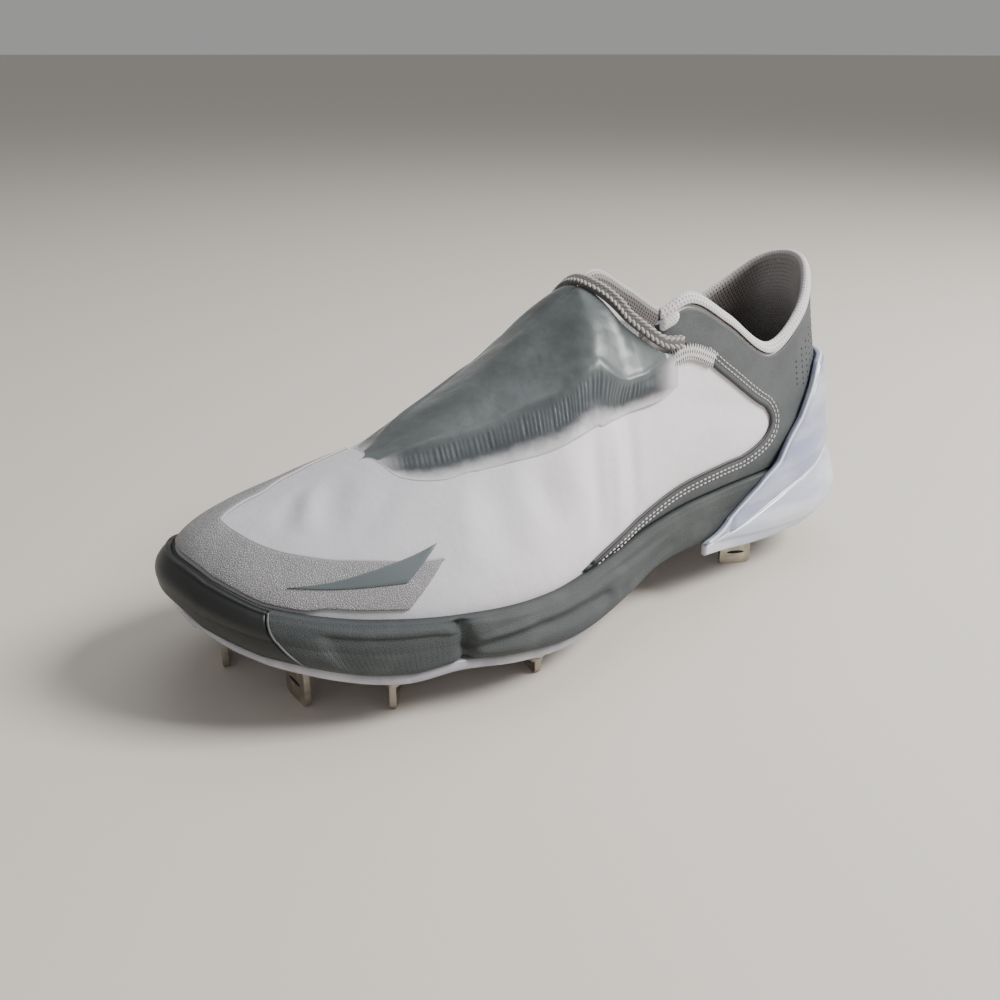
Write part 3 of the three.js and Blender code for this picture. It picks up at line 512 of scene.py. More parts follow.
def grains(name, centres, directions, outwards, length, width, height, material):
    """Rounded grains, one at each centre, lying along its direction."""
    turn = np.arange(GRAIN_SIDES) * 2 * math.pi / GRAIN_SIDES
    template = [[along, round_ * math.cos(a), round_ * math.sin(a)]
                for along, round_ in zip(GRAIN_RINGS["along"], GRAIN_RINGS["round"]) for a in turn]
    template = np.array(template) * [length, width / 2, height / 2]
    forward = unit(directions)
    across = unit(np.cross(outwards, forward))
    up = np.cross(forward, across)
    axes = np.stack([forward, across, up], axis=1)
    placed = np.einsum("pi,nij->npj", template, axes) + centres[:, None, :]
    rings = len(GRAIN_RINGS["along"])
    numbers = np.arange(rings * GRAIN_SIDES).reshape(rings, GRAIN_SIDES)
    one = grid_faces(np.concatenate([numbers, numbers[:, :1]], axis=1))
    one += [numbers[0].tolist(), numbers[-1][::-1].tolist()]
    size = rings * GRAIN_SIDES
    faces = [[n + g * size for n in face] for g in range(len(centres)) for face in one]
    return new_piece(name, placed.reshape(-1, 3), faces, material)


# %% [markdown]
# ## Building finishes from nodes
# Every finish is a Principled shader with its detail mixed from procedural textures. Two small helpers keep
# the node code short: one adds a node and links or sets its inputs, the other stacks a bump. Values that
# are the same all over stay as plain numbers on the shader, because they then survive an export.


# %% Helpers for materials
def linear(code):
    """A #rrggbb colour as the linear numbers that shaders use."""
    parts = [int(code[i : i + 2], 16) / 255 for i in (1, 3, 5)]
    return tuple(p / 12.92 if p <= 0.04045 else ((p + 0.055) / 1.055) ** 2.4 for p in parts) + (1.0,)


def join(tree, socket, value):
    if isinstance(value, bpy.types.NodeSocket):
        tree.links.new(value, socket)
    elif isinstance(value, str):
        socket.default_value = linear(value)
    else:
        socket.default_value = value


def add(tree, kind, inputs, **settings):
    """A node of that kind. inputs maps socket names or numbers to values or other sockets."""
    node = tree.nodes.new("ShaderNode" + kind)
    for key, value in settings.items():
        setattr(node, key, value)
    for key, value in inputs.items():
        join(tree, node.inputs[key], value)
    return node


def finish(name, color, roughness, **constants):
    """A new material with a Principled shader, and its node tree."""
    material = bpy.data.materials.new(name)
    material.use_nodes = True
    shader = material.node_tree.nodes["Principled BSDF"]
    shader.inputs["Base Color"].default_value = linear(color)
    shader.inputs["Roughness"].default_value = roughness
    for key, value in constants.items():
        join(material.node_tree, shader.inputs[key.replace("_", " ")], value)
    return material, material.node_tree, shader


def here(tree):
    return add(tree, "TexCoord", {}).outputs["Object"]


def share(tree, name):
    return add(tree, "Attribute", {}, attribute_name=name).outputs["Fac"]


def sums(tree, operation, a, b=0.0, c=0.0):
    return add(tree, "Math", {0: a, 1: b, 2: c}, operation=operation).outputs[0]


def fade(tree, value, low, high, start=0.0, end=1.0):
    settings = {0: value, 1: low, 2: high, 3: start, 4: end}
    made = add(tree, "MapRange", settings, interpolation_type="SMOOTHSTEP")
    return made.outputs[0]


def noise(tree, grain, detail=2.0, vector=None, stretch=None):
    """Noise whose blotches are about grain millimetres."""
    place = vector or here(tree)
    if stretch:
        place = add(tree, "Mapping", {"Vector": place, "Scale": stretch}).outputs[0]
    settings = {"Vector": place, "Scale": 1 / (grain * MM), "Detail": detail}
    return add(tree, "TexNoise", settings).outputs["Fac"]


def cells(tree, grain, feature="F1"):
    made = add(tree, "TexVoronoi", {"Vector": here(tree), "Scale": 1 / (grain * MM)}, feature=feature)
    return made.outputs["Distance"]


def blend(tree, factor, a, b):
    made = add(tree, "Mix", {0: factor, 6: a, 7: b}, data_type="RGBA")
    return made.outputs[2]


def bump(tree, height, depth, below=None, strength=1.0):
    """A bump of that depth in millimetres, stacked on the one below."""
    inputs = {"Height": height, "Distance": depth * MM, "Strength": strength}
    if below:
        inputs["Normal"] = below
    return add(tree, "Bump", inputs).outputs[0]


# %% [markdown]
# ## The camera
# The photograph looks at the shoe from its front and outer side, from a little above. Azimuth, elevation,
# roll, distance and lens were found by laying the solid model over the photograph until the outlines met. The
# camera comes first, so that every look at a half-finished shoe is already from the right place.

# %% Camera
AZIMUTH, ELEVATION, ROLL = -34.22, 23.31, 0.08
DISTANCE = 388 * MM
LENS = 37.5
SHIFT_RIGHT, SHIFT_UP = -17.8 * MM, -5.8 * MM
LOOK_HEIGHT = 45 * MM


def camera_axes():
    a, e, r = (math.radians(value) for value in (AZIMUTH, ELEVATION, ROLL))
    back = np.array([math.sin(a) * math.cos(e), -math.cos(a) * math.cos(e), math.sin(e)])
    right = unit(np.cross([0, 0, 1], back))
    up = np.cross(back, right)
    return right * math.cos(r) + up * math.sin(r), up * math.cos(r) - right * math.sin(r), back


right, up, back = camera_axes()
camera = bpy.data.objects.new("camera", bpy.data.cameras.new("camera"))
bpy.context.scene.collection.objects.link(camera)
eye = np.array([0, 0, LOOK_HEIGHT]) + back * DISTANCE + right * SHIFT_RIGHT + up * SHIFT_UP
pose = np.eye(4)
pose[:3, 0], pose[:3, 1], pose[:3, 2], pose[:3, 3] = right, up, back, eye
camera.matrix_world = Matrix(pose.tolist())
camera.data.lens = LENS
camera.data.sensor_width = 36
camera.data.clip_start = 0.01
bpy.context.scene.camera = camera
print("camera stands at", np.round(eye / MM), "mm")

# %% [markdown]
# ## Creases
# An empty textile shoe isn't taut: it puckers where panels meet and folds where the foot would bend. Each
# crease is a line on the form with a depth and a width, a trough where the depth is negative and a ridge where
# it is positive. All sheets of the upper follow the same creases, so none pokes through another.

# %% Creases of the upper
CREASES = {
    "outer": table(
        "row_a v_a row_b v_b depth width",
        (6.8, 0.86, 8.4, 0.80, -0.9, 9.0),
        (8.6, 0.84, 9.8, 0.90, -0.6, 8.0),
        (9.7, 0.80, 10.9, 0.93, 0.5, 6.0),
        (9.25, 0.53, 8.95, 0.34, -1.3, 3.4),
        (8.75, 0.50, 8.35, 0.26, 1.1, 3.8),
        (8.15, 0.45, 7.9, 0.2, -1.3, 3.4),
        (7.5, 0.46, 7.2, 0.2, 1.0, 3.8),
        (6.9, 0.52, 6.55, 0.2, -1.1, 3.6),
        (9.9, 0.6, 9.6, 0.3, -1.0, 4.6),
        (10.3, 0.6, 10.2, 0.36, 0.8, 4.2),
        (12.55, 0.92, 12.5, 0.72, 0.9, 3.4),
        (12.15, 0.9, 12.1, 0.68, -0.8, 4.5),
        (13.0, 0.93, 12.9, 0.76, -0.8, 4.5),
        (11.3, 0.78, 11.7, 0.58, -0.7, 5.0),
        (2.6, 0.55, 1.2, 0.5, -0.5, 7.0),
        (3.6, 0.62, 4.8, 0.55, -0.7, 6.0),
    ),
    "inner": table(
        "row_a v_a row_b v_b depth width",
        (6.8, 0.86, 8.3, 0.81, -0.9, 9.0),
        (8.6, 0.84, 9.8, 0.90, -0.6, 8.0),
        (9.3, 0.53, 9.0, 0.36, -0.8, 3.4),
        (8.6, 0.48, 8.2, 0.26, 0.7, 3.8),
        (7.9, 0.42, 7.6, 0.2, -0.8, 3.4),
        (6.7, 0.44, 6.4, 0.2, -0.7, 3.6),
        (12.4, 0.95, 13.2, 0.82, -0.6, 5.0),
        (3.6, 0.6, 5.0, 0.5, -0.7, 6.0),
    ),
}


def relief(side, row, v):
    """Height of the creases at a place, in metres."""
    total = np.zeros(np.broadcast(row, v).shape)
    spots = CREASES[side]
    for i in range(len(spots["depth"])):
        ax, ay = spots["row_a"][i] * ROW_MM, spots["v_a"][i] * RISE_MM
        bx, by = spots["row_b"][i] * ROW_MM, spots["v_b"][i] * RISE_MM
        px, py = row * ROW_MM - ax, v * RISE_MM - ay
        dx, dy = bx - ax, by - ay
        t = np.clip((px * dx + py * dy) / (dx * dx + dy * dy), 0, 1)
        distance = np.hypot(px - t * dx, py - t * dy) / spots["width"][i]
        total = total + spots["depth"][i] * MM * np.exp(-distance * distance) * (0.55 + 1.8 * t * (1 - t))
    return total * ease(v, 0.02, 0.16) * (1 - ease(v, 0.93, 1.0))


def on_upper(patch, lift):
    return skin(patch.side, patch.row, patch.v, lift + relief(patch.side, patch.row, patch.v))


# %% [markdown]
# ## The moulded shell
# The shell is one textile, pale on the side panel and a little greyer over the toes. Its wall is 2 mm, with
# more padding inside the collar. The weave is far too fine to model, so it is bump: two crossed waves and
# a soft noise, which also breaks up the shine.

# %% Upper shell
THROAT = table("row v", (6, 1), (6.5, 0.9), (7.5, 0.84), (9, 0.82), (10, 0.84), (10.5, 0.9), (11, 1))
COLLAR_PAD = 3 * MM
CORNER_ROW = 6


def throat_edge(side, row):
    return read_by(THROAT, "row", "v", row, straight=True)


def pad_at(row, v):
    return COLLAR_PAD * ease(v, 0.5, 0.92) * (1 - ease(row, CORNER_ROW - 1.2, CORNER_ROW))


def weave(tree, pitch, turn=45.0):
    """Two crossed waves of threads."""
    place = add(tree, "Mapping", {"Vector": here(tree), "Rotation": (0.6, math.radians(turn), 0.3)}).outputs[0]
    inputs = {"Vector": place, "Scale": 1 / (pitch * MM) / 6.28, "Distortion": 0.6}
    one = add(tree, "TexWave", inputs, bands_direction="X").outputs["Fac"]
    two = add(tree, "TexWave", inputs, bands_direction="Z").outputs["Fac"]
    return sums(tree, "MAXIMUM", one, two)


def shell_finish():
    material, tree, shader = finish("textile", "#cfcbd0", 0.78, Sheen_Weight=0.25, Sheen_Roughness=0.4)
    forward = fade(tree, share(tree, "foot_row"), 8.6, 11.8)
    clean = blend(tree, forward, linear("#ece8ec"), linear("#bfc0c7"))
    dusty = blend(tree, sums(tree, "MULTIPLY", noise(tree, 16, 4), 0.25), clean, linear("#b3b1b4"))
    tree.links.new(dusty, shader.inputs["Base Color"])
    fine = bump(tree, weave(tree, 0.42), 0.025)
    tree.links.new(bump(tree, noise(tree, 7, 3), 0.4, fine), shader.inputs["Normal"])
    return material


textile = shell_finish()
shell_rows = np.linspace(0, ROWS, 181)
shell = wall(
    "upper_shell",
    both(lambda side: patch_between(side, shell_rows, lambda s, r: 0 * r, throat_edge, 60)),
    lambda p: on_upper(p, 0),
    lambda p: on_upper(p, -0.3 * WALL),
    textile,
)
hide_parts("upper")
print("shell:", len(shell.data.polygons), "faces")

# %% [markdown]
# ## The sole's levels
# The overlays start at the midsole's rim, so the sole's levels are needed before them. Each level is read
# along the foot, and a height on the foot's side is turned into a rise with `v_at_height`.

# %% Levels of the sole
PLATE = 4.2 * MM
RIM_LIP = 3.0 * MM
RIM_MARGIN = 0.6 * MM


def sole_place(side, row):
    along = MIDDLE - foot(side, row)[..., 0] / LENGTH
    under = sole_level("under", along)
    return {
        "rim": sole_level("rim_" + side, along),
        "under": under,
        "lower": under + PLATE + FIT,
        "swell": read_by(SOLE, "along", "swell", along) * BALL_WIDTH,
        "inset": read_by(SOLE, "along", "inset", along) * BALL_WIDTH,
    }


def rim_share(side, row):
    return v_at_height(side, row, sole_place(side, row)["rim"] + RIM_MARGIN)


# %% [markdown]
# ## Overlays
# Thin grainy skins are pressed on the textile: one round the toe, one round the heel and under the side
# panel. Their edges are rolled over rather than cut square, so the lift falls to nothing across the last
# millimetre. Grain is a cell pattern with its edges as furrows.

# %% Toe overlay and rear quarter
TOE_TIP = table("share outer inner", (0, 11.1, 11.4), (1, 10.6, 10.9))
TOE_BAND = table(
    "row outer inner",
    (10.6, 0.41, 0.7),
    (11.5, 0.475, 0.77),
    (12.3, 0.535, 0.81),
    (13, 0.615, 0.85),
    (14, 0.775, 0.87),
    (15, 0.92, 0.92),
)
REAR_EDGE = table(
    "share row",
    (0, 8.3),
    (0.05, 7),
    (0.09, 5.9),
    (0.13, 4.6),
    (0.18, 3.65),
    (0.3, 3.2),
    (0.45, 3.0),
    (0.6, 3.12),
    (0.68, 3.55),
    (0.75, 4.2),
    (0.82, 5.0),
    (0.9, 5.8),
    (1, 6.1),
)
REAR_TOP = 0.985
BARE_STRIP = 0.035


def rolled(depth, width=0.9 * MM):
    """0 at an edge, rising to 1 within a width, as a quarter circle. depth is the way in from the edge."""
    t = np.clip(depth / width, 0, 1)
    return np.sqrt(np.clip(1 - (1 - t) ** 2, 0, 1))


def toe_patch(side):
    s = np.linspace(0, 1, 101)[:, None]
    k = np.linspace(0, 1, 41)[None, :]
    tip = read_by(TOE_TIP, "share", side, k, straight=True)
    row = tip * (1 - s) + ROWS * s
    low = rim_share(side, row) + BARE_STRIP * (1 - ease(row, 12.1, 12.5))
    return Patch(side, row, low + (read_by(TOE_BAND, "row", side, row) - low) * k, s, k)


def rear_patch(side):
    s = np.linspace(0, 1, 101)[:, None]
    k = np.linspace(0, 1, 91)[None, :]
    row = s * read_by(REAR_EDGE, "share", "row", k)
    low = rim_share(side, row)
    return Patch(side, row, low + (REAR_TOP - low) * k, s, k)


def toe_lift(p):
    upper = rolled((1 - p.k) * 24 * MM)
    lower = rolled(p.k * 24 * MM)
    tip = rolled(p.s * 55 * MM)
    return 0.06 * MM + (OVERLAY - 0.06 * MM) * upper * lower * tip


def rear_lift(p):
    return 0.06 * MM + (OVERLAY - 0.06 * MM) * rolled((1 - p.s) * np.maximum(p.row, 1) * ROW_MM * MM)


def grain_finish(name, color, dust, depth, size, speckle, roughness=0.62):
    """Moulded grain: small raised cells with furrows between."""
    material, tree, shader = finish(name, color, roughness, Coat_Weight=0.06, Coat_Roughness=0.45)
    patchy = sums(tree, "MULTIPLY", fade(tree, noise(tree, 12, 4), 0.4, 0.75), 0.5)
    furrows = fade(tree, cells(tree, size, "DISTANCE_TO_EDGE"), 0.0, 0.3)
    worn = blend(tree, patchy, linear(color), linear(dust))
    dark = sums(tree, "MULTIPLY", sums(tree, "SUBTRACT", 1.0, furrows), speckle)
    tree.links.new(blend(tree, dark, worn, linear("#4a4a4d")), shader.inputs["Base Color"])
    base = bump(tree, noise(tree, 4, 2), 0.2)
    tree.links.new(bump(tree, furrows, depth, base), shader.inputs["Normal"])
    return material


toe_grain = grain_finish("toe_grain", "#a5a4a7", "#b6b4b6", 0.16, 0.62, 0.5)
quarter = grain_finish("quarter_skin", "#4e5254", "#5f6365", 0.05, 0.6, 0.2)
toe_overlay = wall(
    "toe_overlay",
    both(toe_patch),
    lambda p: on_upper(p, toe_lift(p)),
    lambda p: on_upper(p, -0.5 * MM),
    toe_grain,
)
rear_overlay = wall(
    "rear_overlay",
    both(rear_patch),
    lambda p: on_upper(p, rear_lift(p)),
    lambda p: on_upper(p, -0.5 * MM),
    quarter,
)
print("overlays:", len(toe_overlay.data.polygons) + len(rear_overlay.data.polygons), "faces")

# %% [markdown]
# ## Edges, seams and holes
# The panel's edge is bound with a narrow dark piping, and two rows of pale stitching run just behind it. A
# line of the upper is a side with arrays of rows and rises. A round cord along that line makes piping, and
# grains along it make stitches.


# %% Lines on the upper
def line_points(side, row, v, lift, aside=0.0):
    """Points, directions and outward normals of a line, moved sideways over the surface by aside."""
    path = skin(side, row, v, lift + relief(side, row, v))
    out = normal_of(side, row, v)
    along = unit(np.gradient(path, axis=0))
    return path + np.cross(out, along) * aside, along, out


def cord_along(name, path, along, out, width, height, material, sides=10):
    """A flattened cord along a path."""
    across = unit(np.cross(out, along))
    turn = np.linspace(0, 2 * math.pi, sides, endpoint=False)
    rings = path[:, None] + across[:, None] * (np.cos(turn) * width / 2)[None, :, None]
    rings = rings + out[:, None] * (np.sin(turn) * height / 2)[None, :, None]
    return bar(name, rings, material)


def stitches(name, path, along, out, spacing, length, width, material, turn=0.0, height=0.5 * MM):
    at = evenly(path, spacing)
    forward, up = unit(sample(along, at)), unit(sample(out, at))
    angle = math.radians(turn)
    turned = forward * math.cos(angle) + np.cross(up, forward) * math.sin(angle)
    return grains(name, sample(path, at), turned, up, length, width, height, material)


thread = finish("pale_thread", "#c6c3c1", 0.7, Sheen_Weight=0.3)[0]
piping_skin = finish("piping", "#2c2d30", 0.5)[0]
edge_skin = finish("overlay_edge", "#aaa7a8", 0.45)[0]
dark_hole = finish("hole", "#2a2b2d", 0.9)[0]

share_line = np.linspace(0.012, 0.79, 260)
for side in OTHER:
    row = read_by(REAR_EDGE, "share", "row", share_line)
    rim = rim_share(side, row)
    v = rim + (REAR_TOP - rim) * share_line
    turn = -1 if side == "outer" else 1
    path, along, out = line_points(side, row, v, 0.7 * MM)
    cord_along(f"piping_{side}", path, along, out, 1.3 * MM, 1.1 * MM, piping_skin)
    for number, aside in enumerate((2.3, 3.9)):
        path, along, out = line_points(side, row, v, OVERLAY + 0.12 * MM, turn * aside * MM)
        name = f"stitching_{side}_{number}"
        made = stitches(name, path, along, out, 2.1 * MM, 1.6 * MM, 0.55 * MM, thread)

for side in OTHER:
    s = np.linspace(0, 1, 200)
    tip = read_by(TOE_TIP, "share", side, 1.0, straight=True)
    row = tip * (1 - s) + ROWS * s
    path, along, out = line_points(side, row, read_by(TOE_BAND, "row", side, row), 0.45 * MM)
    made = cord_along(f"toe_edge_{side}", path, along, out, 1.1 * MM, 0.9 * MM, edge_skin)

PERFORATIONS = table(
    "row v count",
    (1.3, 0.88, 9),
    (1.5, 0.88, 9),
    (1.7, 0.88, 9),
    (1.9, 0.87, 8),
    (2.1, 0.85, 7),
    (2.3, 0.84, 5),
)
for side in OTHER:
    spots = []
    for i, row in enumerate(PERFORATIONS["row"]):
        for j in range(int(PERFORATIONS["count"][i])):
            spots.append((row, PERFORATIONS["v"][i] - 0.035 * (j + 0.5 * (i % 2))))
    row, v = np.array(spots).T
    centre = skin(side, row, v, OVERLAY + relief(side, row, v) - 0.08 * MM)
    out = normal_of(side, row, v)
    ahead = rise_of(side, row, v)
    holes = grains(f"perforations_{side}", centre, ahead, out, 1.1 * MM, 1.1 * MM, 0.4 * MM, dark_hole)

TACK = {"from_row": 4.4, "to_row": 5.7, "v": 0.805, "stitches": 20, "height": 6.2 * MM}
tack_base = finish("tack_base", "#5f5f61", 0.8)[0]
white_thread = finish("white_thread", "#e4e1df", 0.6, Sheen_Weight=0.3)[0]
for side in OTHER:
    row = np.linspace(TACK["from_row"], TACK["to_row"], 120)
    path, along, out = line_points(side, row, np.full(120, TACK["v"]), OVERLAY + 0.1 * MM)
    made = cord_along(f"bar_tack_base_{side}", path, along, out, 5.2 * MM, 0.8 * MM, tack_base)
    spacing = np.linalg.norm(path[-1] - path[0]) / TACK["stitches"]
    path = path + out * 0.45 * MM
    for number, slant in enumerate((74, -78)):
        made = stitches(
            f"bar_tack_{side}_{number}", path, along, out, spacing, TACK["height"], 0.48 * MM, white_thread, slant
        )
print("seams: piping, two rows of stitches, bar-tack and holes on both sides")

# %% [markdown]
# ## The toe blades
# A smooth dark blade lies on the outer side of the toe overlay. On the inner side the same blade is only an
# outline of two strokes. Both are thin prints with a slightly raised face.

# %% Toe blades
BLADE = {
    "outer": ((12.68, 0.37), (10.68, 0.48), (11.12, 0.345)),
    "inner": ((12.9, 0.4), (10.95, 0.48), (11.4, 0.36)),
}
blade_skin = finish("blade_print", "#5a6265", 0.38, Coat_Weight=0.15, Coat_Roughness=0.3)[0]


def blade_patch(side):
    (front_row, front_v), (top_row, top_v), (low_row, low_v) = BLADE[side]
    s = np.linspace(0, 1, 61)[:, None]
    k = np.linspace(0, 1, 13)[None, :]
    upper_row = top_row + (front_row - top_row) * s
    upper_v = top_v + (front_v - top_v) * s
    lower_row = low_row + (front_row - low_row) * s
    lower_v = low_v + (front_v - low_v) * s
    return Patch(side, lower_row + (upper_row - lower_row) * k, lower_v + (upper_v - lower_v) * k, s, k)


def blade_lift(p):
    edge = rolled(np.minimum(np.minimum(p.k, 1 - p.k) * 7 * MM, p.s * 30 * MM), 0.5 * MM)
    return OVERLAY + (0.1 + 0.35 * edge) * MM


blade = wall(
    "toe_blade",
    [blade_patch("outer")],
    lambda p: on_upper(p, blade_lift(p)),
    lambda p: on_upper(p, OVERLAY - 0.3 * MM),
    blade_skin,
)
outline = blade_patch("inner")
for number, column in enumerate((0, -1)):
    path, along, out = line_points("inner", outline.row[:, column], outline.v[:, column], OVERLAY + 0.1 * MM)
    made = cord_along(f"toe_stroke_{number}", path, along, out, 2.0 * MM, 0.7 * MM, blade_skin)

# %% [markdown]
# ## The lace cover
# A stretch satin is pulled over the laces and bonded to the vamp. Its lower edge melts into the pale textile,
# with short gathered ribs just above it. The sheet therefore thins to nothing there, and the ribs and the colour
# follow its own rise share. Between the edge and the ribs the colour is darkened as painted shadow, and the
# rear top is lightened as a painted highlight.

# %% Lace cover
COVER = 1.6 * MM
COVER_EDGE = table(
    "row outer inner top",
    (5.4, 0.67, 0.67, 0.815),
    (6, 0.64, 0.64, 0.855),
    (6.5, 0.605, 0.605, 0.9),
    (7, 0.56, 0.565, 0.935),
    (7.5, 0.5, 0.51, 0.97),
    (8, 0.465, 0.475, 1),
    (9, 0.55, 0.55, 1),
    (10, 0.67, 0.67, 1),
    (10.5, 0.715, 0.715, 1),
    (11, 0.8, 0.8, 1),
    (11.7, 0.95, 0.95, 1),
)


def cover_low(side, row):
    """The lower edge, closed to a rounded tip over the toes."""
    low = read_by(COVER_EDGE, "row", side, row)
    tip = ease(row, 10.9, COVER_EDGE["row"][-1])
    return low + (1 - low) * tip * tip


def cover_top(side, row):
    return np.where(row < TONGUE_ROW, read_by(COVER_EDGE, "row", "top", row, straight=True), 1.0)


def cover_lift(row):
    return 1.5 * FIT + OVERLAY * (1 - ease(row, TONGUE_ROW - 1, TONGUE_ROW + 1))


FOLD = table(
    "row v",
    (5.4, 0.84),
    (5.85, 0.81),
    (6.6, 0.72),
    (7.6, 0.62),
    (8.65, 0.66),
    (9.3, 0.74),
    (10, 0.8),
    (10.8, 0.88),
    (11.7, 0.97),
)
GATHER = {"pitch_mm": 1.9, "depth": 0.18 * MM}


def cover_patch(side):
    """s is the rise share counted to the fold, which is where s is 1."""
    row = cover_rows[:, None]
    k = np.linspace(0, 1, 61)[None, :]
    low, high = cover_low(side, row), cover_top(side, row)
    fold = (read_by(FOLD, "row", "v", row) - low) / np.maximum(high - low, 0.02)
    return Patch(side, row, low * (1 - k) + high * k, k / np.clip(fold, 0.14, 0.8), k)


def bell(value, centre, width):
    return np.exp(-(((value - centre) / width) ** 2))


def cover_outside(p):
    """Thin at its lower and front edge, gathered below the fold, and full above it."""
    edge = 0.08 * MM + (OVERLAY + 0.15 * MM) * (1 - ease(p.row, 6.2, 7.4))
    tip = 1 - ease(p.row, 10.2, 11.5)
    back = ease(p.row, COVER_EDGE["row"][0], COVER_EDGE["row"][0] + 0.5)
    full = edge + (cover_lift(p.row) + COVER - edge) * tip * back
    wobble = np.sin(p.girth * 0.9) + np.sin(p.girth * 0.37 + 1.0)
    ribs = np.sin(p.girth * 2 * math.pi / GATHER["pitch_mm"] + 0.8 * wobble) * (0.75 + 0.2 * wobble)
    band = ease(p.s, 0.38, 0.58) * (1 - ease(p.s, 0.82, 0.98)) * ease(p.row, 6.0, 7.2) * tip
    fold = bell(p.s, 1.08, 0.14) * back * tip
    valley = bell(p.s, 0.55, 0.3) * ease(p.row, 6.2, 7.4) * tip
    shape = GATHER["depth"] * ribs * band + 0.8 * MM * fold - 0.7 * MM * valley
    sheet = edge + (full - edge) * ease(p.k, 0.0, 0.3)
    return on_upper(p, np.maximum(sheet + shape, edge))


def cover_inside(p):
    return on_upper(p, 0.03 * MM + OVERLAY * (1 - ease(p.row, 6.2, 7.4)))


def satin():
    material, tree, shader = finish("stretch_satin", "#4b5153", 0.34, Sheen_Weight=0.2, Sheen_Roughness=0.35)
    up, row = share(tree, "foot_s"), share(tree, "foot_row")
    soft = blend(tree, fade(tree, noise(tree, 26, 3), 0.35, 0.7), linear("#4a5051"), linear("#5f6768"))
    # painted highlight: the cover's rear top, above the fold, is lightened towards #8f9999
    rear = sums(tree, "MULTIPLY", fade(tree, row, 7.6, 6.2, 0, 1), fade(tree, up, 0.9, 1.5))
    soft = blend(tree, sums(tree, "MULTIPLY", rear, 0.6), soft, linear("#8f9999"))
    banded = blend(tree, fade(tree, up, 0.8, 1.02, 1, 0), soft, linear("#50575a"))
    # painted shadow: the band between the ribs and the lower edge is darkened towards #44494d
    deep = blend(tree, fade(tree, up, 0.4, 0.75, 1, 0), banded, linear("#44494d"))
    ragged = sums(tree, "ADD", up, sums(tree, "MULTIPLY", noise(tree, 3, 3), 0.16))
    melted = fade(tree, ragged, 0.12, 0.52, 1, 0)
    ends = sums(tree, "MAXIMUM", fade(tree, row, 5.4, 6.3, 1, 0), fade(tree, row, 10.9, 11.6))
    low_end = sums(tree, "MULTIPLY", ends, fade(tree, up, 0.9, 1.3, 1, 0))
    edged = blend(tree, sums(tree, "MAXIMUM", melted, low_end), deep, linear("#c6c4c8"))
    tree.links.new(edged, shader.inputs["Base Color"])
    fine = bump(tree, weave(tree, 0.35), 0.03)
    tree.links.new(bump(tree, noise(tree, 9, 2), 0.6, fine), shader.inputs["Normal"])
    return material


cover_rows = np.concatenate([np.linspace(5.4, 8, 130)[:-1], np.linspace(8, 11.7, 190)])
cover = wall(
    "stretch_cover",
    both(cover_patch),
    cover_outside,
    cover_inside,
    satin(),
)
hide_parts("lace_cover")
print("cover:", len(cover.data.polygons), "faces")

# %% [markdown]
# ## Top edge of the cover
# The cover's top is finished with a braided cord, stitched over so that it reads as two slanted rows of light
# dashes with dark gaps. The dark cord goes in first, and the braid's strands are grains laid over it.

# %% Cover binding
BINDING = 2.8 * MM
BINDING_HEIGHT = 4.6 * MM
TONGUE = 3.6 * MM
TONGUE_STAND = 8 * MM
TONGUE_ENDS = (6.5, 10.6)


def knit_finish(name, color, dark, pitch, hole=0.3, depth=0.35):
    """Knit: rows of loops with a small dark hole between them, every other row shifted by half a loop."""
    material, tree, shader = finish(name, color, 0.9, Sheen_Weight=0.35, Sheen_Roughness=0.5)
    up = sums(tree, "DIVIDE", share(tree, "foot_climb"), pitch * 0.8)
    line = sums(tree, "FLOOR", up)
    ahead = sums(tree, "MULTIPLY_ADD", line, 0.5, sums(tree, "DIVIDE", share(tree, "foot_girth"), pitch))
    ahead = sums(tree, "ADD", sums(tree, "FRACT", ahead), -0.5)
    up = sums(tree, "ADD", sums(tree, "FRACT", up), -0.5)
    square = sums(tree, "ADD", sums(tree, "MULTIPLY", ahead, ahead), sums(tree, "MULTIPLY", up, up))
    loop = fade(tree, square, hole * hole * 0.25, hole * hole * 1.6)
    worn = blend(tree, sums(tree, "MULTIPLY", noise(tree, 7, 3), 0.3), linear(color), linear(dark))
    tree.links.new(blend(tree, loop, linear(dark), worn), shader.inputs["Base Color"])
    soft = bump(tree, noise(tree, 6, 2), 0.3)
    tree.links.new(bump(tree, loop, depth, soft), shader.inputs["Normal"])
    return material


def top_rise(side, row, v):
    ridge = unit(top("outer", np.array(8.0)) - top("outer", np.array(8.5)))
    t = ease(row, COVER_EDGE["row"][0], TONGUE_ROW)[..., None]
    own = rise_of(side, row, v)
    return unit(own + (ridge - own) * t)


def top_out(side, row, v):
    middle = normal_of("outer", np.array(8.0), np.array(1.0))
    t = ease(row, TONGUE_ROW - 1, TONGUE_ROW)[..., None]
    own = normal_of(side, row, v)
    return unit(own + (middle - own) * t)


def top_edge_line(count):
    """From the inner corner over the middle of the tongue to the outer corner."""
    half = np.linspace(COVER_EDGE["row"][0], TONGUE_ROW, count)
    parts = []
    for side, rows in (("inner", half), ("outer", half[::-1][1:])):
        v = cover_top(side, rows)
        parts.append([form(side, rows, v), top_rise(side, rows, v), top_out(side, rows, v), cover_lift(rows)])
    return [np.concatenate(part) for part in zip(*parts)]


dark_cord = finish("dark_cord", "#5f5e5e", 0.8, Sheen_Weight=0.3)[0]
braid_thread = finish("braid_thread", "#a8a4a1", 0.75, Sheen_Weight=0.3)[0]
start, rise, out, lift = top_edge_line(90)
middle = start + rise * (4 * FIT + BINDING_HEIGHT / 2) + out * (lift + BINDING / 2)[:, None]
turn = np.linspace(0, 2 * math.pi, 16, endpoint=False)
rings = middle[:, None] + out[:, None] * (np.cos(turn) * BINDING / 2)[None, :, None]
rings = rings + rise[:, None] * (np.sin(turn) * BINDING_HEIGHT / 2)[None, :, None]
binding = bar("braid_core", rings, dark_cord)
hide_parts("cover_binding")

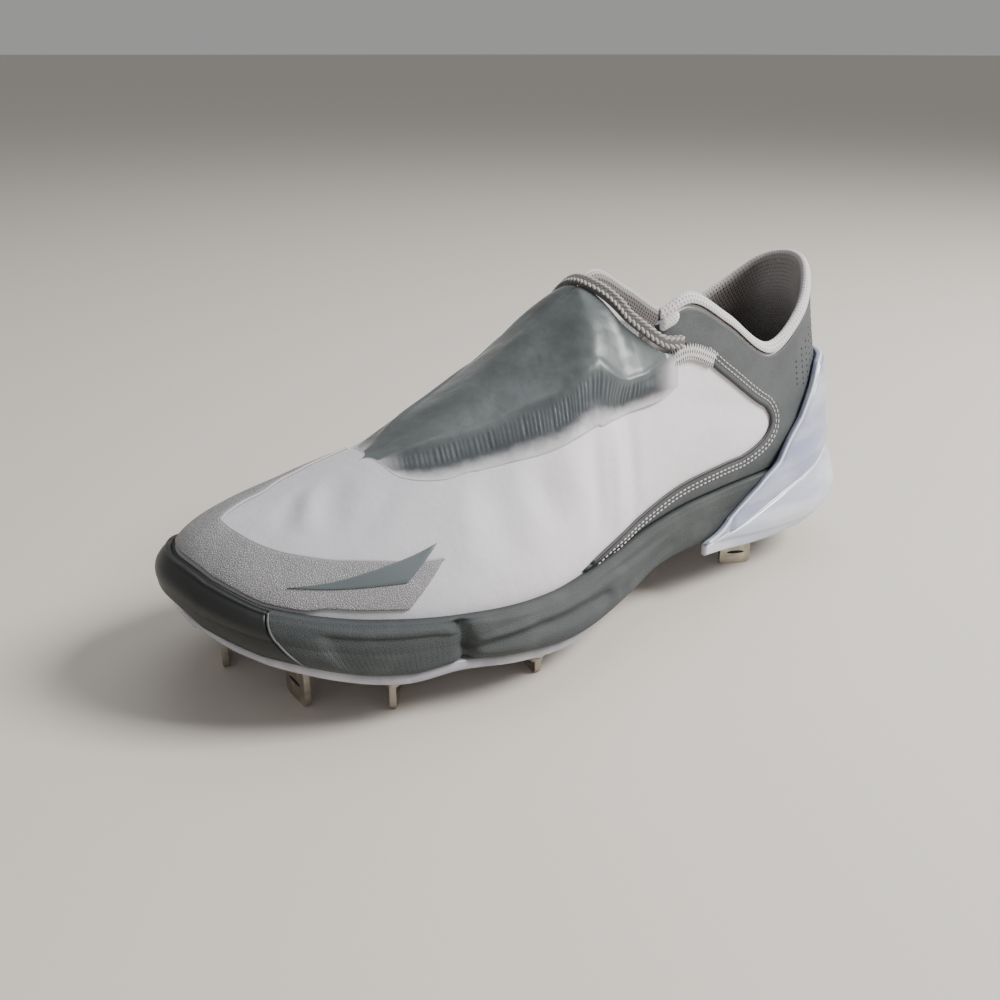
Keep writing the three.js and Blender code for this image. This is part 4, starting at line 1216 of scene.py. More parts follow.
BRAID = table("height out slant", (0.27, 0.42, 32), (-0.27, 0.42, -32))
for i in range(2):
    offset = BRAID["height"][i] * BINDING_HEIGHT
    path = middle + rise * offset + out * (BRAID["out"][i] * BINDING)
    along = unit(np.gradient(path, axis=0))
    made = stitches(
        f"braid_{i}", path, along, out, 2.0 * MM, 2.7 * MM, 1.2 * MM, braid_thread, BRAID["slant"][i], 1.0 * MM
    )
path = middle + rise * (0.5 * BINDING_HEIGHT)
along = unit(np.gradient(path, axis=0))
made = stitches("braid_top", path, along, rise, 2.0 * MM, 2.1 * MM, 1.2 * MM, braid_thread, 20)
print("braid on the cover's top edge")

# %% [markdown]
# ## Tongue and tab
# The padded knit tongue stands up behind the cover. It is a thick sheet under the cover that goes on above its
# top edge. A small round knit end sits over the collar's front corner.


# %% Tongue and tab
def tongue_lift(side, row, v):
    edge = throat_edge(side, row)
    under = -WALL - 2 * FIT
    return under - under * ease(v, edge + 0.03, edge + 0.2)


def tongue_sheet(p, depth):
    """Up to the top edge the tongue follows the form. k past 1 stands free above it."""
    stand = np.clip(p.k - 1, 0, 1)
    point = skin(p.side, p.row, p.v, tongue_lift(p.side, p.row, p.v) - depth)
    full = np.sin(math.pi / 2 * ease(p.row, TONGUE_ENDS[0], TONGUE_ROW)) * TONGUE_STAND
    return point + top_rise(p.side, p.row, p.v) * (stand * full)[..., None]


def tongue_patches(side):
    rows = np.concatenate([np.linspace(6.5, 8, 25)[:-1], np.linspace(8, 10.6, 40)])
    low = lambda s, r: np.maximum(0.5, throat_edge(s, r) - 0.14)
    lying = patch_between(side, rows, low, lambda s, r: 1 + 0 * r, 24)
    up = rows[rows <= 8.0001][:, None]
    stand = np.linspace(1, 2, 13)[None, :]
    return [lying, Patch(side, up, np.ones((1, 1)), up, stand)]


def tongue_outside(p):
    stand = np.clip(p.k - 1, 0, 1)
    return tongue_sheet(p, 0.5 * TONGUE * (1 - np.sqrt(1 - stand**4)))


def tongue_inside(p):
    stand = np.clip(p.k - 1, 0, 1)
    return tongue_sheet(p, TONGUE - 0.5 * TONGUE * (1 - np.sqrt(1 - stand**4)))


pale_knit = knit_finish("pale_knit", "#efedec", "#aeaaa8", 1.2, 0.2)
tongue_places = tongue_patches("outer") + tongue_patches("inner")
tongue = wall("knit_tongue", tongue_places, tongue_outside, tongue_inside, pale_knit)
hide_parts("tongue")

TAB = {"radius": 2.2 * MM, "length": 8 * MM, "row": 5.75}
tab_at = form("outer", np.array(TAB["row"]), np.array(1.0))
tab_rise = rise_of("outer", np.array(TAB["row"]), np.array(1.0))
tab_out = normal_of("outer", np.array(TAB["row"]), np.array(1.0))
tab_ends = [form("outer", np.array(TAB["row"] + step), np.array(1.0)) for step in (0.2, -0.2)]
ahead = tab_ends[0] - tab_ends[1]
ahead = unit(ahead)
bend = np.linspace(-math.pi / 2, math.pi / 2, 25)
reach = np.sin(bend) * TAB["radius"] + np.sign(bend) * (TAB["length"] / 2 - TAB["radius"])
radius = np.maximum(np.cos(bend), 0.02) * TAB["radius"]
turn = np.linspace(0, 2 * math.pi, 24, endpoint=False)
ring_up = np.cos(turn)[:, None] * tab_rise + np.sin(turn)[:, None] * np.cross(ahead, tab_rise)
tab_middle = tab_at - tab_rise * TAB["radius"] * 0.6 + tab_out * (OVERLAY + TAB["radius"] * 0.8)
rings = tab_middle + reach[:, None, None] * ahead + radius[:, None, None] * ring_up[None]
tab = bar("knit_tab", rings, pale_knit)
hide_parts("tongue_tab")
print("tongue:", len(tongue.data.polygons), "faces")

# %% [markdown]
# ## Collar
# The rim is rolled in knit, with a lighter binding strip along its outer edge. Inside, a warm grey knit lining
# with rows of small holes runs down to the footbed. It sits just inside the shell's padded face.

# %% Collar and lining
COLLAR_ROLL = 3.4 * MM
LINING = {"to_row": 7.4, "low": 0.16, "roll_share": 0.25}
RIM_PAD_LEFT = 0.25


def lining_pad(row, v):
    """The padding is full below the rim and thin in the rim itself."""
    return pad_at(row, v) * (1 - (1 - RIM_PAD_LEFT) * ease(v, 0.84, 1.0))


collar_knit = knit_finish("collar_knit", "#756d69", "#1f1c1b", 1.5, 0.28, 0.4)


def lighten_rim(material, color, pale_row):
    """The knit is paler on the roll, and inside the top of the heel."""
    tree = material.node_tree
    shader = tree.nodes["Principled BSDF"]
    socket = shader.inputs["Base Color"].links[0].from_socket
    roll = fade(tree, share(tree, "foot_k"), 0.1, LINING["roll_share"] + 0.04, 1, 0)
    heel = fade(tree, share(tree, "foot_row"), 0.5, pale_row, 0.4, 0)
    heel = sums(tree, "MULTIPLY", heel, fade(tree, share(tree, "foot_k"), 0.3, 0.7, 1, 0))
    factor = sums(tree, "MAXIMUM", roll, heel)
    lit = add(tree, "Mix", {0: factor, 6: socket, 7: linear(color)}, data_type="RGBA")
    lit.blend_type = "SCREEN"
    tree.links.new(lit.outputs[2], shader.inputs["Base Color"])


lighten_rim(collar_knit, "#d6d3d5", 1.6)


def collar_patch(side, rows):
    row = rows[:, None]
    k = np.linspace(0, 1, 81)[None, :]
    share_in = np.clip((k - LINING["roll_share"]) / (1 - LINING["roll_share"]), 0, 1)
    v = 1 - (1 - LINING["low"]) * share_in
    climb = np.minimum(k / LINING["roll_share"], 1) * 8 + share_in * (1 - LINING["low"]) * RISE_MM
    return Patch(side, row, v + 0 * row, row, k, climb)


def collar_sheet(p, thinner):
    """Half round over the rim, then down the inside of the padded wall."""
    turn = math.pi * np.clip(p.k / LINING["roll_share"], 0, 1)
    thickness = OVERLAY + WALL + lining_pad(p.row, 1.0)
    out = normal_of(p.side, p.row, np.ones(p.row.shape))
    up = rise_of(p.side, p.row, np.ones(p.row.shape))
    middle = form(p.side, p.row, np.ones(p.row.shape)) + out * (OVERLAY - thickness / 2)[..., None] + up * FIT
    scale = 1.06 + 0.1 * np.sin(turn) - thinner * 250
    across = out * (np.cos(turn) * thickness / 2 * scale)[..., None]
    over = middle + across + up * (np.sin(turn) * COLLAR_ROLL * scale)[..., None]
    down = skin(p.side, p.row, p.v, -WALL - lining_pad(p.row, p.v) + thinner)
    return np.where((p.k > LINING["roll_share"])[..., None], down, over)


collar = wall(
    "collar_knit",
    both(lambda side: collar_patch(side, np.linspace(0, 5.95, 120))),
    lambda p: collar_sheet(p, -0.1 * MM),
    lambda p: collar_sheet(p, 0.7 * MM),
    collar_knit,
)
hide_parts("collar_roll")

lining = wall(
    "front_lining",
    both(lambda side: patch_between(
        side, np.linspace(5.9, LINING["to_row"], 25), lambda s, r: LINING["low"] + 0 * r, throat_edge, 40)),
    lambda p: skin(p.side, p.row, p.v, -WALL - pad_at(p.row, p.v) - 0.1 * MM),
    lambda p: skin(p.side, p.row, p.v, -WALL - pad_at(p.row, p.v) + 0.7 * MM),
    collar_knit,
)
print("collar:", len(collar.data.polygons), "faces")

# %% [markdown]
# ## Footbed
# A thin foam footbed fills the floor of the shoe. It is a loft: for each row along the foot, one section from
# side to side.

# %% Footbed
INSOLE = 4.0 * MM
INSET = WALL + FIT
sole_rows = np.linspace(0, ROWS, 151)


def footbed_edge(side, rows):
    base = foot(side, rows)
    low = base - foot_out(side, rows) * INSET
    v = v_at_height(side, rows, base[:, 2] + INSOLE)
    high = skin(side, rows, v, np.full(len(rows), -INSET))
    high[:, 2] = base[:, 2] + INSOLE
    inward = high - foot_out(side, rows) * (1.2 * MM)
    high[:, 2] -= 0.8 * MM
    return np.stack([inward, high, low], axis=1)


footbed = loft("footbed", sole_rows, footbed_edge, finish("footbed", "#5c5f62", 0.9, Sheen_Weight=0.3)[0])
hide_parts("insole")

# %% [markdown]
# ## Midsole
# The foam midsole is moulded in two lobes on its outer side: a front one with a sunken field behind a raised
# rim, and a rear one with a wavy groove. They meet at a pinch under the ball of the foot. Its face is read
# from a short profile, and the moulded forms are added to that as depths at places of row and share down.

# %% Midsole
FACE = table("down out", (0, 0), (0.12, 0.33), (0.4, 0.76), (0.72, 1), (0.92, 0.82), (1, 0.5))
SEAM_ROW = 12.9
BUMPER = 1.6 * MM
DOWN_MM = 21.0


def beside_foot(side, row, z, lift):
    row, z = np.broadcast_arrays(row, z)
    base = foot(side, row)
    above = skin(side, row, v_at_height(side, row, z), np.full(row.shape, lift))
    below = base + foot_out(side, row) * lift
    point = np.where((z > base[..., 2])[..., None], above, below)
    return np.concatenate([point[..., :2], z[..., None]], axis=-1)


def trough(row, down, path, width, depth):
    """A furrow along a list of (row, down) places."""
    closest = np.full(np.broadcast(row, down).shape, 1e9)
    for (ra, da), (rb, db) in zip(path, path[1:]):
        dx, dy = (rb - ra) * ROW_MM, (db - da) * DOWN_MM
        px, py = (row - ra) * ROW_MM, (down - da) * DOWN_MM
        t = np.clip((px * dx + py * dy) / (dx * dx + dy * dy), 0, 1)
        closest = np.minimum(closest, np.hypot(px - t * dx, py - t * dy))
    return -depth * np.exp(-((closest / width) ** 2))


FIELD = {"from_row": 10.5, "to_row": 12.1, "top": 0.2, "bottom": 0.72, "depth": 1.0}
LEDGE = {"outer": ((10.45, 0.5), (10.05, 0.3), (9.35, 0.14), (8.1, 0.14), (6.6, 0.26), (5.4, 0.3))}
LEDGE["inner"] = ((10.6, 0.55), (10.2, 0.35), (9.5, 0.2), (8.2, 0.2), (6.6, 0.3), (5.2, 0.34))
GROOVES = {
    "outer": (
        (((10.35, 0.66), (10.0, 0.56), (9.4, 0.42), (8.65, 0.4), (8.1, 0.46)), 2.4, 1.8),
        (((10.5, 0.1), (10.42, 0.5), (10.42, 1.0)), 1.5, 3.0),
        (((7.6, 0.6), (6.6, 0.62), (5.4, 0.6)), 3.0, 0.8),
    ),
    "inner": (
        (((10.6, 0.66), (10.1, 0.52), (9.5, 0.45), (8.5, 0.42), (7.8, 0.48)), 2.4, 1.5),
        (((10.75, 0.1), (10.66, 0.5), (10.66, 1.0)), 1.5, 2.4),
        (((7.6, 0.6), (6.2, 0.6), (4.6, 0.58)), 3.0, 0.9),
    ),
}


def ledge_relief(side, row, down):
    """The rear lobe stands out below a line that runs up from the pinch."""
    rows = np.array([r for r, _ in LEDGE[side]][::-1])
    levels = np.array([level for _, level in LEDGE[side]][::-1])
    line = np.interp(row, rows, levels)
    reach = ease(row, rows[0] - 0.4, rows[0] + 1.2) * (1 - ease(row, rows[-1] - 0.2, rows[-1]))
    return 1.3 * reach * ease(down, line - 0.02, line + 0.1) * (1 - ease(down, 0.75, 1.0))


def face_relief(side, row, down):
    total = ledge_relief(side, row, down)
    for path, width, depth in GROOVES[side]:
        total = total + trough(row, down, path, width, depth)
    ends = ease(row, FIELD["from_row"] - 0.1, FIELD["from_row"] + 0.06)
    ends = ends * (1 - ease(row, FIELD["to_row"], 12.35))
    round_end = np.clip((row - FIELD["from_row"]) / 0.5, 0, 1)
    top_line = FIELD["top"] + 0.2 * (1 - np.sqrt(round_end * (2 - round_end)))
    inside = ease(down, top_line - 0.02, top_line + 0.06) * (1 - ease(down, FIELD["bottom"], 0.95))
    total = total - FIELD["depth"] * ends * inside
    lip = np.exp(-(((down - top_line + 0.07) / 0.05) ** 2)) * ends
    return (total + 0.2 * lip) * MM


def face_point(side, row, down, extra=0.0, shaped=True):
    """A point of the midsole's outer face: down runs from its rim (0) to its lower edge (1)."""
    near = 1 - np.clip(np.abs(row - SEAM_ROW) / 2, 0, 1)
    leaning = row - 0.5 * down * down * near
    place = sole_place(side, leaning)
    out = read_by(FACE, "down", "out", down) * place["swell"]
    z = place["rim"] + (place["lower"] - place["rim"]) * down
    if shaped:
        out = out + face_relief(side, row, down)
    return beside_foot(side, leaning, z, FIT + RIM_LIP) + foot_out(side, leaning) * (out + extra)[..., None]


downs = np.linspace(0, 1, 45)
lip_shares = np.linspace(0, 1, 7)


def midsole_edge(side, rows):
    base = foot(side, rows)
    rim = sole_place(side, rows)["rim"]
    bed = base + foot_out(side, rows) * FIT
    bed[:, 2] = base[:, 2] - FIT
    lip_z = base[:, 2:3] + (rim - base[:, 2])[:, None] * lip_shares[None, :]
    lip = beside_foot(side, rows[:, None], lip_z, FIT)
    row, down = np.broadcast_arrays(rows[:, None], downs[None, :])
    inset = np.where(row > SEAM_ROW, -BUMPER - FIT, 0.0)
    return np.concatenate([bed[:, None], lip, face_point(side, row, down, inset)], axis=1)


def midsole_attributes(rows, shape):
    down = np.concatenate([np.zeros(2 + len(lip_shares)), downs, [1.0]])
    return {"down": np.tile(down, (shape[0], 1)), "foot_row": np.tile(rows[:, None], (1, shape[1]))}


def foam():
    material, tree, shader = finish("foam", "#545b5c", 0.72, Coat_Weight=0.05, Coat_Roughness=0.5)
    row, down = share(tree, "foot_row"), share(tree, "down")
    green = blend(tree, fade(tree, row, 9.6, 10.8), linear("#3b3f40"), linear("#373c3e"))
    patchy = sums(tree, "MULTIPLY", fade(tree, noise(tree, 14, 4), 0.45, 0.75), 0.35)
    grain = fade(tree, cells(tree, 0.6, "DISTANCE_TO_EDGE"), 0, 0.25)
    worn = blend(tree, patchy, green, linear("#5c6160"))
    worn = blend(tree, sums(tree, "MULTIPLY", grain, 0.1), worn, linear("#7b807e"))
    tree.links.new(worn, shader.inputs["Base Color"])
    lines = sums(tree, "SINE", sums(tree, "MULTIPLY", row, 2 * math.pi * ROW_MM / 1.3))
    upright = sums(tree, "MULTIPLY", fade(tree, down, 0.3, 0.45), fade(tree, row, 10.4, 10.8))
    striped = sums(tree, "MULTIPLY", lines, upright)
    below = bump(tree, striped, 0.02)
    tree.links.new(bump(tree, grain, 0.08, below), shader.inputs["Normal"])
    return material


seam = [SEAM_ROW, SEAM_ROW + 0.02]
midsole_rows = np.sort(np.concatenate([np.linspace(0, ROWS, 241), seam]))
midsole = loft("foam_midsole", midsole_rows, midsole_edge, foam(), midsole_attributes)
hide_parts("midsole")
print("midsole:", len(midsole.data.polygons), "faces")

# %% [markdown]
# ## Toe bumper
# A smooth rubber piece wraps the front of the midsole. A thin bead of the same rubber runs along its top and a
# fine paler line along the seam behind it.

# %% Toe bumper
rubber, rubber_tree, rubber_shader = finish("rubber", "#1f2121", 0.5, Coat_Weight=0.15, Coat_Roughness=0.35)
scuffed = fade(rubber_tree, noise(rubber_tree, 10, 5), 0.5, 0.8)
scuffed = sums(rubber_tree, "MULTIPLY", scuffed, 0.35)
scuffed = blend(rubber_tree, scuffed, linear("#1f2121"), linear("#3b3f3f"))
rubber_tree.links.new(scuffed, rubber_shader.inputs["Base Color"])
rubber_tree.links.new(bump(rubber_tree, noise(rubber_tree, 1.2, 2), 0.06), rubber_shader.inputs["Normal"])
bead_skin = finish("bead", "#5d6261", 0.45)[0]


def bumper_patch(side):
    row = np.linspace(SEAM_ROW + 0.04, ROWS, 70)[:, None]
    down = np.linspace(1, 0, 40)[None, :]
    return Patch(side, row, down, row, down)


bumper = wall(
    "rubber_bumper",
    both(bumper_patch),
    lambda p: face_point(p.side, p.row, p.v, 0.0 * p.v, False),
    lambda p: face_point(p.side, p.row, p.v, -BUMPER + 0 * p.v, False),
    rubber,
)
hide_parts("toe_bumper")
half = np.linspace(SEAM_ROW, ROWS, 90)
bead = np.concatenate([face_point("outer", half, 0.02 + 0 * half, 0 * half, False),
                       face_point("inner", half[::-1][1:], 0.02 + 0 * half[1:], 0 * half[1:], False)])
bead_out = unit(bead * [1, 1, 0])
made = cord_along("bumper_bead", bead, unit(np.gradient(bead, axis=0)), bead_out, 0.8 * MM, 0.7 * MM, rubber)
for side in OTHER:
    down = np.linspace(0.0, 1.0, 50)
    line = face_point(side, SEAM_ROW + 0 * down, down, 0.1 * MM + 0 * down, False)
    out = foot_out(side, SEAM_ROW + 0 * down)
    seam_ahead = unit(np.gradient(line, axis=0))
    made = cord_along(f"bumper_seam_{side}", line, seam_ahead, out, 0.7 * MM, 0.7 * MM, bead_skin)
print("bumper:", len(bumper.data.polygons), "faces")

# %% [markdown]
# ## Clear plate and heel pieces
# The plate, the wing round the heel and the cushion below it are a milky clear plastic with a cool tint. It
# lets some light through, scatters the rest, and has a gentle gloss. Moulded edges look paler because light
# gathers in them, so thin beads of a whiter plastic follow them as painted highlights.


# %% Clear plastic
def clear_finish(name, deep, pale, transmission, streak=(1, 1, 1)):
    """Milky plastic: pale streaks lie in a cooler, deeper tint."""
    material, tree, shader = finish(name, deep, 0.2, IOR=1.46, Coat_Weight=0.4, Coat_Roughness=0.12)
    shader.inputs["Transmission Weight"].default_value = transmission
    flow = fade(tree, noise(tree, 14, 3, stretch=streak), 0.42, 0.66)
    tree.links.new(blend(tree, flow, linear(deep), linear(pale)), shader.inputs["Base Color"])
    tree.links.new(bump(tree, noise(tree, 16, 2, stretch=streak), 0.8), shader.inputs["Normal"])
    return material


wing_clear = clear_finish("wing_plastic", "#b0b6d6", "#cfd5ea", 0.25, (0.35, 0.8, 1.6))
cushion_clear = clear_finish("cushion_plastic", "#d2d8ec", "#eef1f9", 0.25, (0.4, 0.8, 1.6))
plate_clear = clear_finish("plate_plastic", "#b9b8c4", "#dcdde4", 0.25)
# paler plastic: its beads along the wing's edges are painted highlights; the heel bosses use it too
milky = finish("milky_and_edge_highlight", "#e6e9f2", 0.3, Coat_Weight=0.3)[0]
SPIKES = {
    "spike_toe_outer": (0.885, -0.17, 92, 14),
    "spike_toe_inner": (0.925, 0.2, 65, 12),
    "spike_fore_outer": (0.79, -0.36, 56, 13),
    "spike_fore_inner": (0.8, 0.36, 110, 13),
    "spike_ball_outer": (0.61, -0.44, 80, 13),
    "spike_ball_inner": (0.64, 0.37, 110, 13),
    "spike_heel_outer": (0.18, -0.39, -25, 13),
    "spike_heel_inner": (0.155, 0.36, 25, 13),
}
BOSS = 3.5 * MM
TOE_DROP = 1.5


def plate_edge(side, rows):
    place = sole_place(side, rows)
    out = foot_out(side, rows)
    base = foot(side, rows)
    before = foot(side, np.maximum(rows - 0.5, 0))
    rise = place["under"] - sole_level("under", MIDDLE - before[:, 0] / LENGTH)
    slope = np.maximum(0, rise / np.maximum(before[:, 0] - base[:, 0], FIT))
    under = place["under"] - slope * TOE_DROP * place["inset"]
    edge = base + out * (FIT + RIM_LIP + place["swell"] * 0.5 - place["inset"])[:, None]
    turn = np.linspace(math.pi / 2, -math.pi / 2, 13)
    inward = PLATE * (0.25 + 0.45 * (turn < 0)) * (1 - np.cos(turn))
    z = under[:, None] + PLATE * (0.5 + 0.5 * np.sin(turn))[None, :]
    points_ = edge[:, None] - out[:, None] * inward[None, :, None]
    return np.concatenate([points_[..., :2], z[..., None]], axis=-1)


plate = loft("clear_plate", np.linspace(0, ROWS, 201), plate_edge, plate_clear)
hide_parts("plate")


def spike_frame(along, across, turn):
    height = sole_level("under", np.array(along)) - BOSS
    place = np.array([x_at(along), float(y_at(across, along)), 0.0])
    angle = math.radians(turn)
    axes = np.array([[math.cos(angle), math.sin(angle), 0], [-math.sin(angle), math.cos(angle), 0], [0, 0, 1]])
    return place, axes, float(height)


BOSS_RINGS = table("high round", (0.0, 0.5), (0.02, 0.58), (0.12, 0.63), (0.5, 0.68), (1.0, 0.75))
HEEL_FLARE = 1.55
for name, (along, across, turn, width) in SPIKES.items():
    place, axes, height = spike_frame(along, across, turn)
    angle = np.linspace(0, 2 * math.pi, 40, endpoint=False)
    reach = BOSS + PLATE / 2
    at_heel = "heel" in name
    local = []
    for h, r in zip(BOSS_RINGS["high"], BOSS_RINGS["round"]):
        spread = r * (1 + (HEEL_FLARE - 1) * h * h) if at_heel else r
        long, wide = spread * width * MM, 0.62 * spread * width * MM
        local.append([[long * math.cos(a), wide * math.sin(a), height + h * reach] for a in angle])
    boss = bar("boss_" + name[6:], np.array(local) @ axes + place, milky if at_heel else plate_clear)
print("plate with", len(SPIKES), "bosses")

# %% [markdown]
# ## Metal spikes
# Each spike is stamped from sheet steel: a blade with rounded lower corners, a slanted front edge and a slot,
# welded to a flat foot. Its edges are bevelled, because worn steel shows a bright line there.

# %% Spikes
steel, steel_tree, steel_shader = finish("steel", "#a39c8f", 0.34, Metallic=0.85)
rubbed = fade(steel_tree, noise(steel_tree, 5, 5), 0.4, 0.7)
steel_color = blend(steel_tree, rubbed, linear("#a8a194"), linear("#cfc8ba"))
steel_tree.links.new(steel_color, steel_shader.inputs["Base Color"])
steel_tree.links.new(bump(steel_tree, noise(steel_tree, 0.7, 3), 0.04), steel_shader.inputs["Normal"])
SPIKE_THICKNESS = 2.2 * MM
FLANGE = 1.4 * MM


def extruded(work, outline, low, high, place):
    """A plate with that outline of (x, z), between two depths."""
    front = [work.verts.new(place(x, low, z)) for x, z in outline]
    behind = [work.verts.new(place(x, high, z)) for x, z in outline]
    work.faces.new(front)
    work.faces.new(behind[::-1])
    for i in range(len(outline)):
        work.faces.new([front[i - 1], behind[i - 1], behind[i], front[i]])


def corner(centre_x, centre_z, radius, start, end, count=6):
    angles = np.radians(np.linspace(start, end, count))
    return [(centre_x + radius * math.cos(a), centre_z + radius * math.sin(a)) for a in angles]


def spike_blade(name, along, across, turn, width):
    place, axes, height = spike_frame(along, across, turn)
    top_z = height - FIT
    half = width * MM / 2
    rear = corner(-half * 0.72, top_z * 0.28, half * 0.28, 180, 270)
    rear = [(x, max(z - top_z * 0.28 + half * 0.28, 0)) for x, z in rear]
    ahead = corner(half * 0.66, half * 0.34, half * 0.34, 270, 350)
    outline = rear + ahead + [(half * 0.92, top_z), (-half, top_z)]
    work = bmesh.new()
    at = lambda x, y, z: (np.array([x, y, z]) @ axes + place).tolist()
    extruded(work, outline, -SPIKE_THICKNESS / 2, SPIKE_THICKNESS / 2, at)
    bmesh.ops.bevel(work, geom=work.edges[:], offset=0.35 * MM, segments=2, affect="EDGES", profile=0.6)
    angle = np.linspace(0, 2 * math.pi, 36, endpoint=False)
    oval = [(0.55 * width * MM * math.cos(a), 0.275 * width * MM * math.sin(a)) for a in angle]
    low = [work.verts.new(at(x, y, top_z - FLANGE)) for x, y in oval]
    high = [work.verts.new(at(x, y, top_z)) for x, y in oval]
    work.faces.new(low)
    work.faces.new(high[::-1])
    for i in range(len(oval)):
        work.faces.new([low[i - 1], high[i - 1], high[i], low[i]])
    work.verts.index_update()
    vertices = [list(v.co) for v in work.verts]
    faces = [[v.index for v in face.verts] for face in work.faces]
    work.free()
    made = new_piece(name.replace("spike", "blade"), vertices, faces, steel, flat=True)
    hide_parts(name)
    slot_rings = []
    for reach in (-0.5, 0.5):
        ring = [(half * 0.55 * math.cos(a), half * 0.1 * math.sin(a)) for a in angle]
        slot_rings.append([at(x, reach * (SPIKE_THICKNESS + 0.12 * MM), z + top_z * 0.45) for x, z in ring])
    hole = bar(name.replace("spike", "slot"), np.array(slot_rings), dark_hole)


for name, numbers in SPIKES.items():
    spike_blade(name, *numbers)
print(len(SPIKES), "spikes")

# %% [markdown]
# ## Clear wing and cushion
# The wing rises round the back of the heel and runs forward under the panel. The cushion below it swells out
# beyond the foam. Both follow the outside of the heel: the midsole's face, and above its rim the upper.

# %% Heel counter and cushion
HEEL = table(
    "row top crease",
    (0, 2.36, 1.33),
    (1, 2.38, 1.3),
    (1.6, 2.34, 1.22),
    (2, 2.1, 1.15),
    (2.4, 1.8, 1.07),
    (3, 1.38, 0.94),
    (4, 0.9, 0.73),
    (4.5, 0.69, 0.65),
)
HEEL_FIT = 0.7 * MM
COUNTER = 2.2 * MM
CUSHION_REACH = 8.5 * MM
CUSHION_WALL = 2.5 * MM
PINCH = 1.6 * MM
heel_rows = np.linspace(0, 4.5, 91)[:, None]


def heel_level(column, row):
    return HEEL_STACK * read_by(HEEL, "row", column, row)


def heel_face(side, row, z, extra):
    row, z, extra = np.broadcast_arrays(row, z, extra)
    place = sole_place(side, row)
    down = np.clip((place["rim"] - z) / (place["rim"] - place["lower"]), 0, 3)
    low = face_point(side, row, down, extra, False)
    lift = FIT + RIM_LIP + (OVERLAY - RIM_LIP) * ease(z, place["rim"], place["rim"] + 4 * RIM_LIP)
    v = v_at_height(side, row, z)
    high = skin(side, row, v, lift + extra)
    high[..., 2] = z
    return np.where((z <= place["rim"])[..., None], low, high)


def heel_patch(side, low, high, count):
    t = np.linspace(0, 1, count + 1)[None, :]
    bottom, upper = low(side, heel_rows), high(side, heel_rows)
    return Patch(side, heel_rows, bottom * (1 - t) + np.maximum(bottom, upper) * t, heel_rows, t)


def counter_bulge(p):
    width = np.maximum(heel_level("top", p.row) - heel_level("crease", p.row), FIT)
    edge = rolled(np.minimum(p.k, 1 - p.k) * width, 1.6 * MM) * rolled((4.5 - p.row) * ROW_MM * MM, 2 * MM)
    pinch = bell(p.v - heel_level("crease", p.row), 0, 4 * MM) * (1 - ease(p.row, 2.5, 4))
    return HEEL_FIT + COUNTER * (0.35 + 0.65 * edge) + PINCH * (0.6 * (1 - pinch) - 0.2 * pinch) * (p.row < 4)


counter = wall(
    "clear_wing",
    both(lambda side: heel_patch(
        side, lambda s, r: heel_level("crease", r) + FIT, lambda s, r: heel_level("top", r), 30)),
    lambda p: heel_face(p.side, p.row, p.v, counter_bulge(p)),
    lambda p: heel_face(p.side, p.row, p.v, HEEL_FIT + 0 * p.v),
    wing_clear,
)
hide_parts("heel_counter")


def cushion_swell(p):
    bulge = (CUSHION_REACH - CUSHION_WALL) * np.sin(math.pi * p.k**0.8) * (1 - ease(p.row, 0.5, 4.5))
    edge = rolled(np.minimum(p.k, 1 - p.k) * 15 * MM, 2 * MM)
    pinch = bell(p.v - heel_level("crease", p.row), 0, 4 * MM) * (1 - ease(p.row, 2.5, 4))
    return HEEL_FIT + CUSHION_WALL * (0.4 + 0.6 * edge) + bulge - PINCH * pinch * np.minimum(1, bulge / PINCH)


cushion = wall(
    "clear_cushion",
    both(lambda side: heel_patch(
        side, lambda s, r: sole_place(s, r)["lower"] - PLATE, lambda s, r: heel_level("crease", r), 36)),
    lambda p: heel_face(p.side, p.row, p.v, cushion_swell(p)),
    lambda p: heel_face(p.side, p.row, p.v, HEEL_FIT + 0 * p.v),
    cushion_clear,
)
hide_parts("heel_cushion")
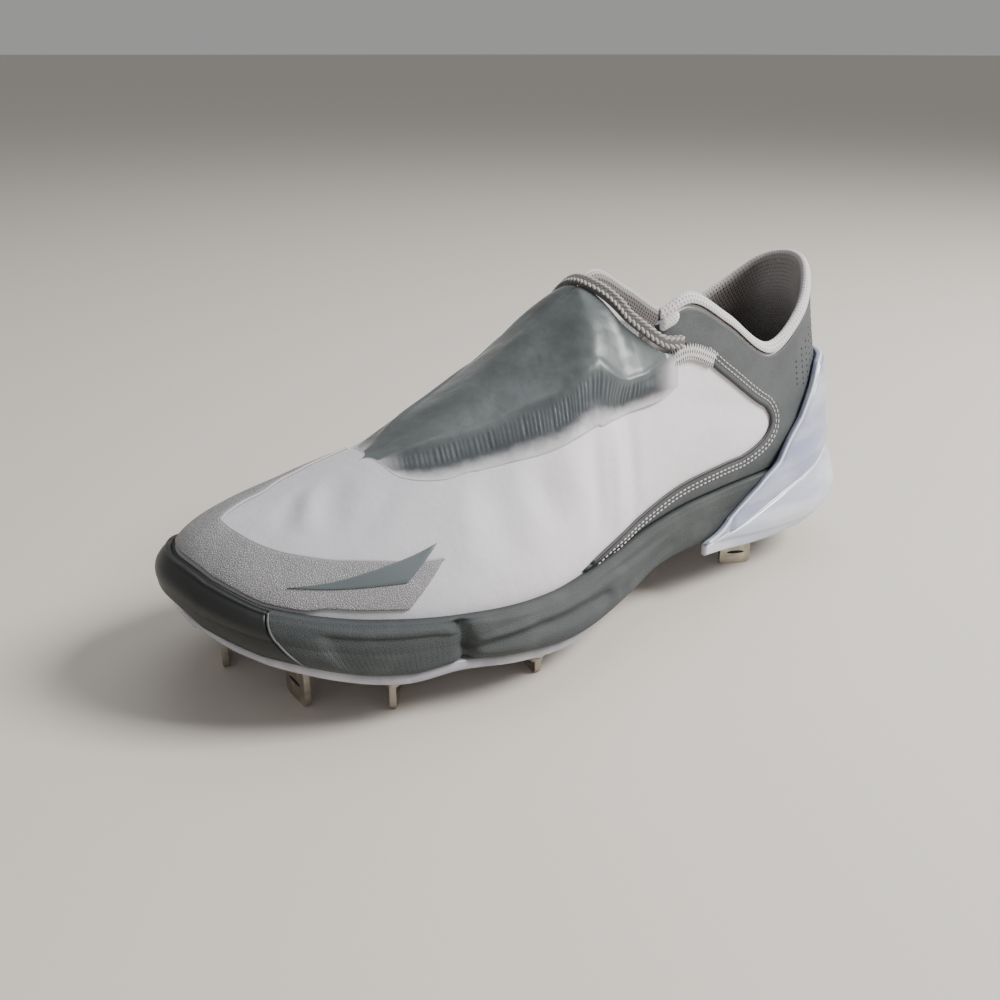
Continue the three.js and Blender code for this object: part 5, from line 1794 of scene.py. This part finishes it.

# the whiter cords along the wing's top and along its crease are painted highlights
rows = np.linspace(0, 4.45, 120)
lines = {side: heel_face(side, rows, heel_level("top", rows) - 0.4 * MM, HEEL_FIT + 0.8 * COUNTER + 0 * rows)
         for side in OTHER}
path = np.concatenate([lines["inner"][::-1], lines["outer"][1:]])
out = unit((path - path.mean(axis=0)) * [1, 1, 0])
made = cord_along("wing_edge", path, unit(np.gradient(path, axis=0)), out, 1.3 * MM, 1.3 * MM, milky)
crease_z = heel_level("crease", rows) + 0.2 * MM
crease_lift = HEEL_FIT + 0.75 * COUNTER + 0 * rows
lines = {side: heel_face(side, rows, crease_z, crease_lift)
         for side in OTHER}
path = np.concatenate([lines["inner"][::-1], lines["outer"][1:]])
out = unit((path - path.mean(axis=0)) * [1, 1, 0])
made = cord_along("crease_edge", path, unit(np.gradient(path, axis=0)), out, 1.0 * MM, 1.0 * MM, milky)
print("heel pieces:", len(counter.data.polygons) + len(cushion.data.polygons), "faces")

# %% [markdown]
# ## Floor and light
# The shoe stands on a plain pale floor. As in the photograph, one soft window light comes from the right and
# above, so the heel and the side panel are bright and the toe end falls into shade. A weak wide light from
# above keeps the shaded parts open.

# %% Floor and light
floor_skin = finish("floor", "#cfc9c0", 0.8)[0]
reach = 60.0
floor_mesh = bpy.data.meshes.new("floor")
corners = [(-reach, -reach, 0), (reach, -reach, 0), (reach, reach, 0), (-reach, reach, 0)]
floor_mesh.from_pydata(corners, [], [[0, 1, 2, 3]])
floor = bpy.data.objects.new("floor", floor_mesh)
floor.data.materials.append(floor_skin)
bpy.context.scene.collection.objects.link(floor)

level_right = unit(right * [1, 1, 0])
level_back = unit(back * [1, 1, 0])
SHOE_MIDDLE = np.array([0, 0, 0.04])


def area_light(name, to_right, to_camera, high, distance, size, power, color=(1, 1, 1)):
    """A square lamp that looks at the shoe, placed by shares of the camera's own directions."""
    away = unit(level_right * to_right + level_back * to_camera + np.array([0, 0, high]))
    lamp = bpy.data.lights.new(name, "AREA")
    lamp.size = size
    lamp.energy = power
    lamp.color = color
    made = bpy.data.objects.new(name, lamp)
    bpy.context.scene.collection.objects.link(made)
    x_axis = unit(np.cross([0, 0.01, 1], away))
    pose = np.eye(4)
    pose[:3, 0], pose[:3, 1], pose[:3, 2] = x_axis, np.cross(away, x_axis), away
    pose[:3, 3] = SHOE_MIDDLE + away * distance
    made.matrix_world = Matrix(pose.tolist())
    return made


area_light("window", 1.0, 0.1, 0.95, 1.3, 0.5, 30.0, (1.0, 0.985, 0.965))
area_light("ceiling", 0.1, -0.5, 1.4, 1.4, 1.2, 6.0, (0.98, 0.99, 1.0))
world = bpy.data.worlds.new("studio")
bpy.context.scene.world = world
world.use_nodes = True
world.node_tree.nodes["Background"].inputs["Color"].default_value = (0.95, 0.94, 0.93, 1)
world.node_tree.nodes["Background"].inputs["Strength"].default_value = 0.36
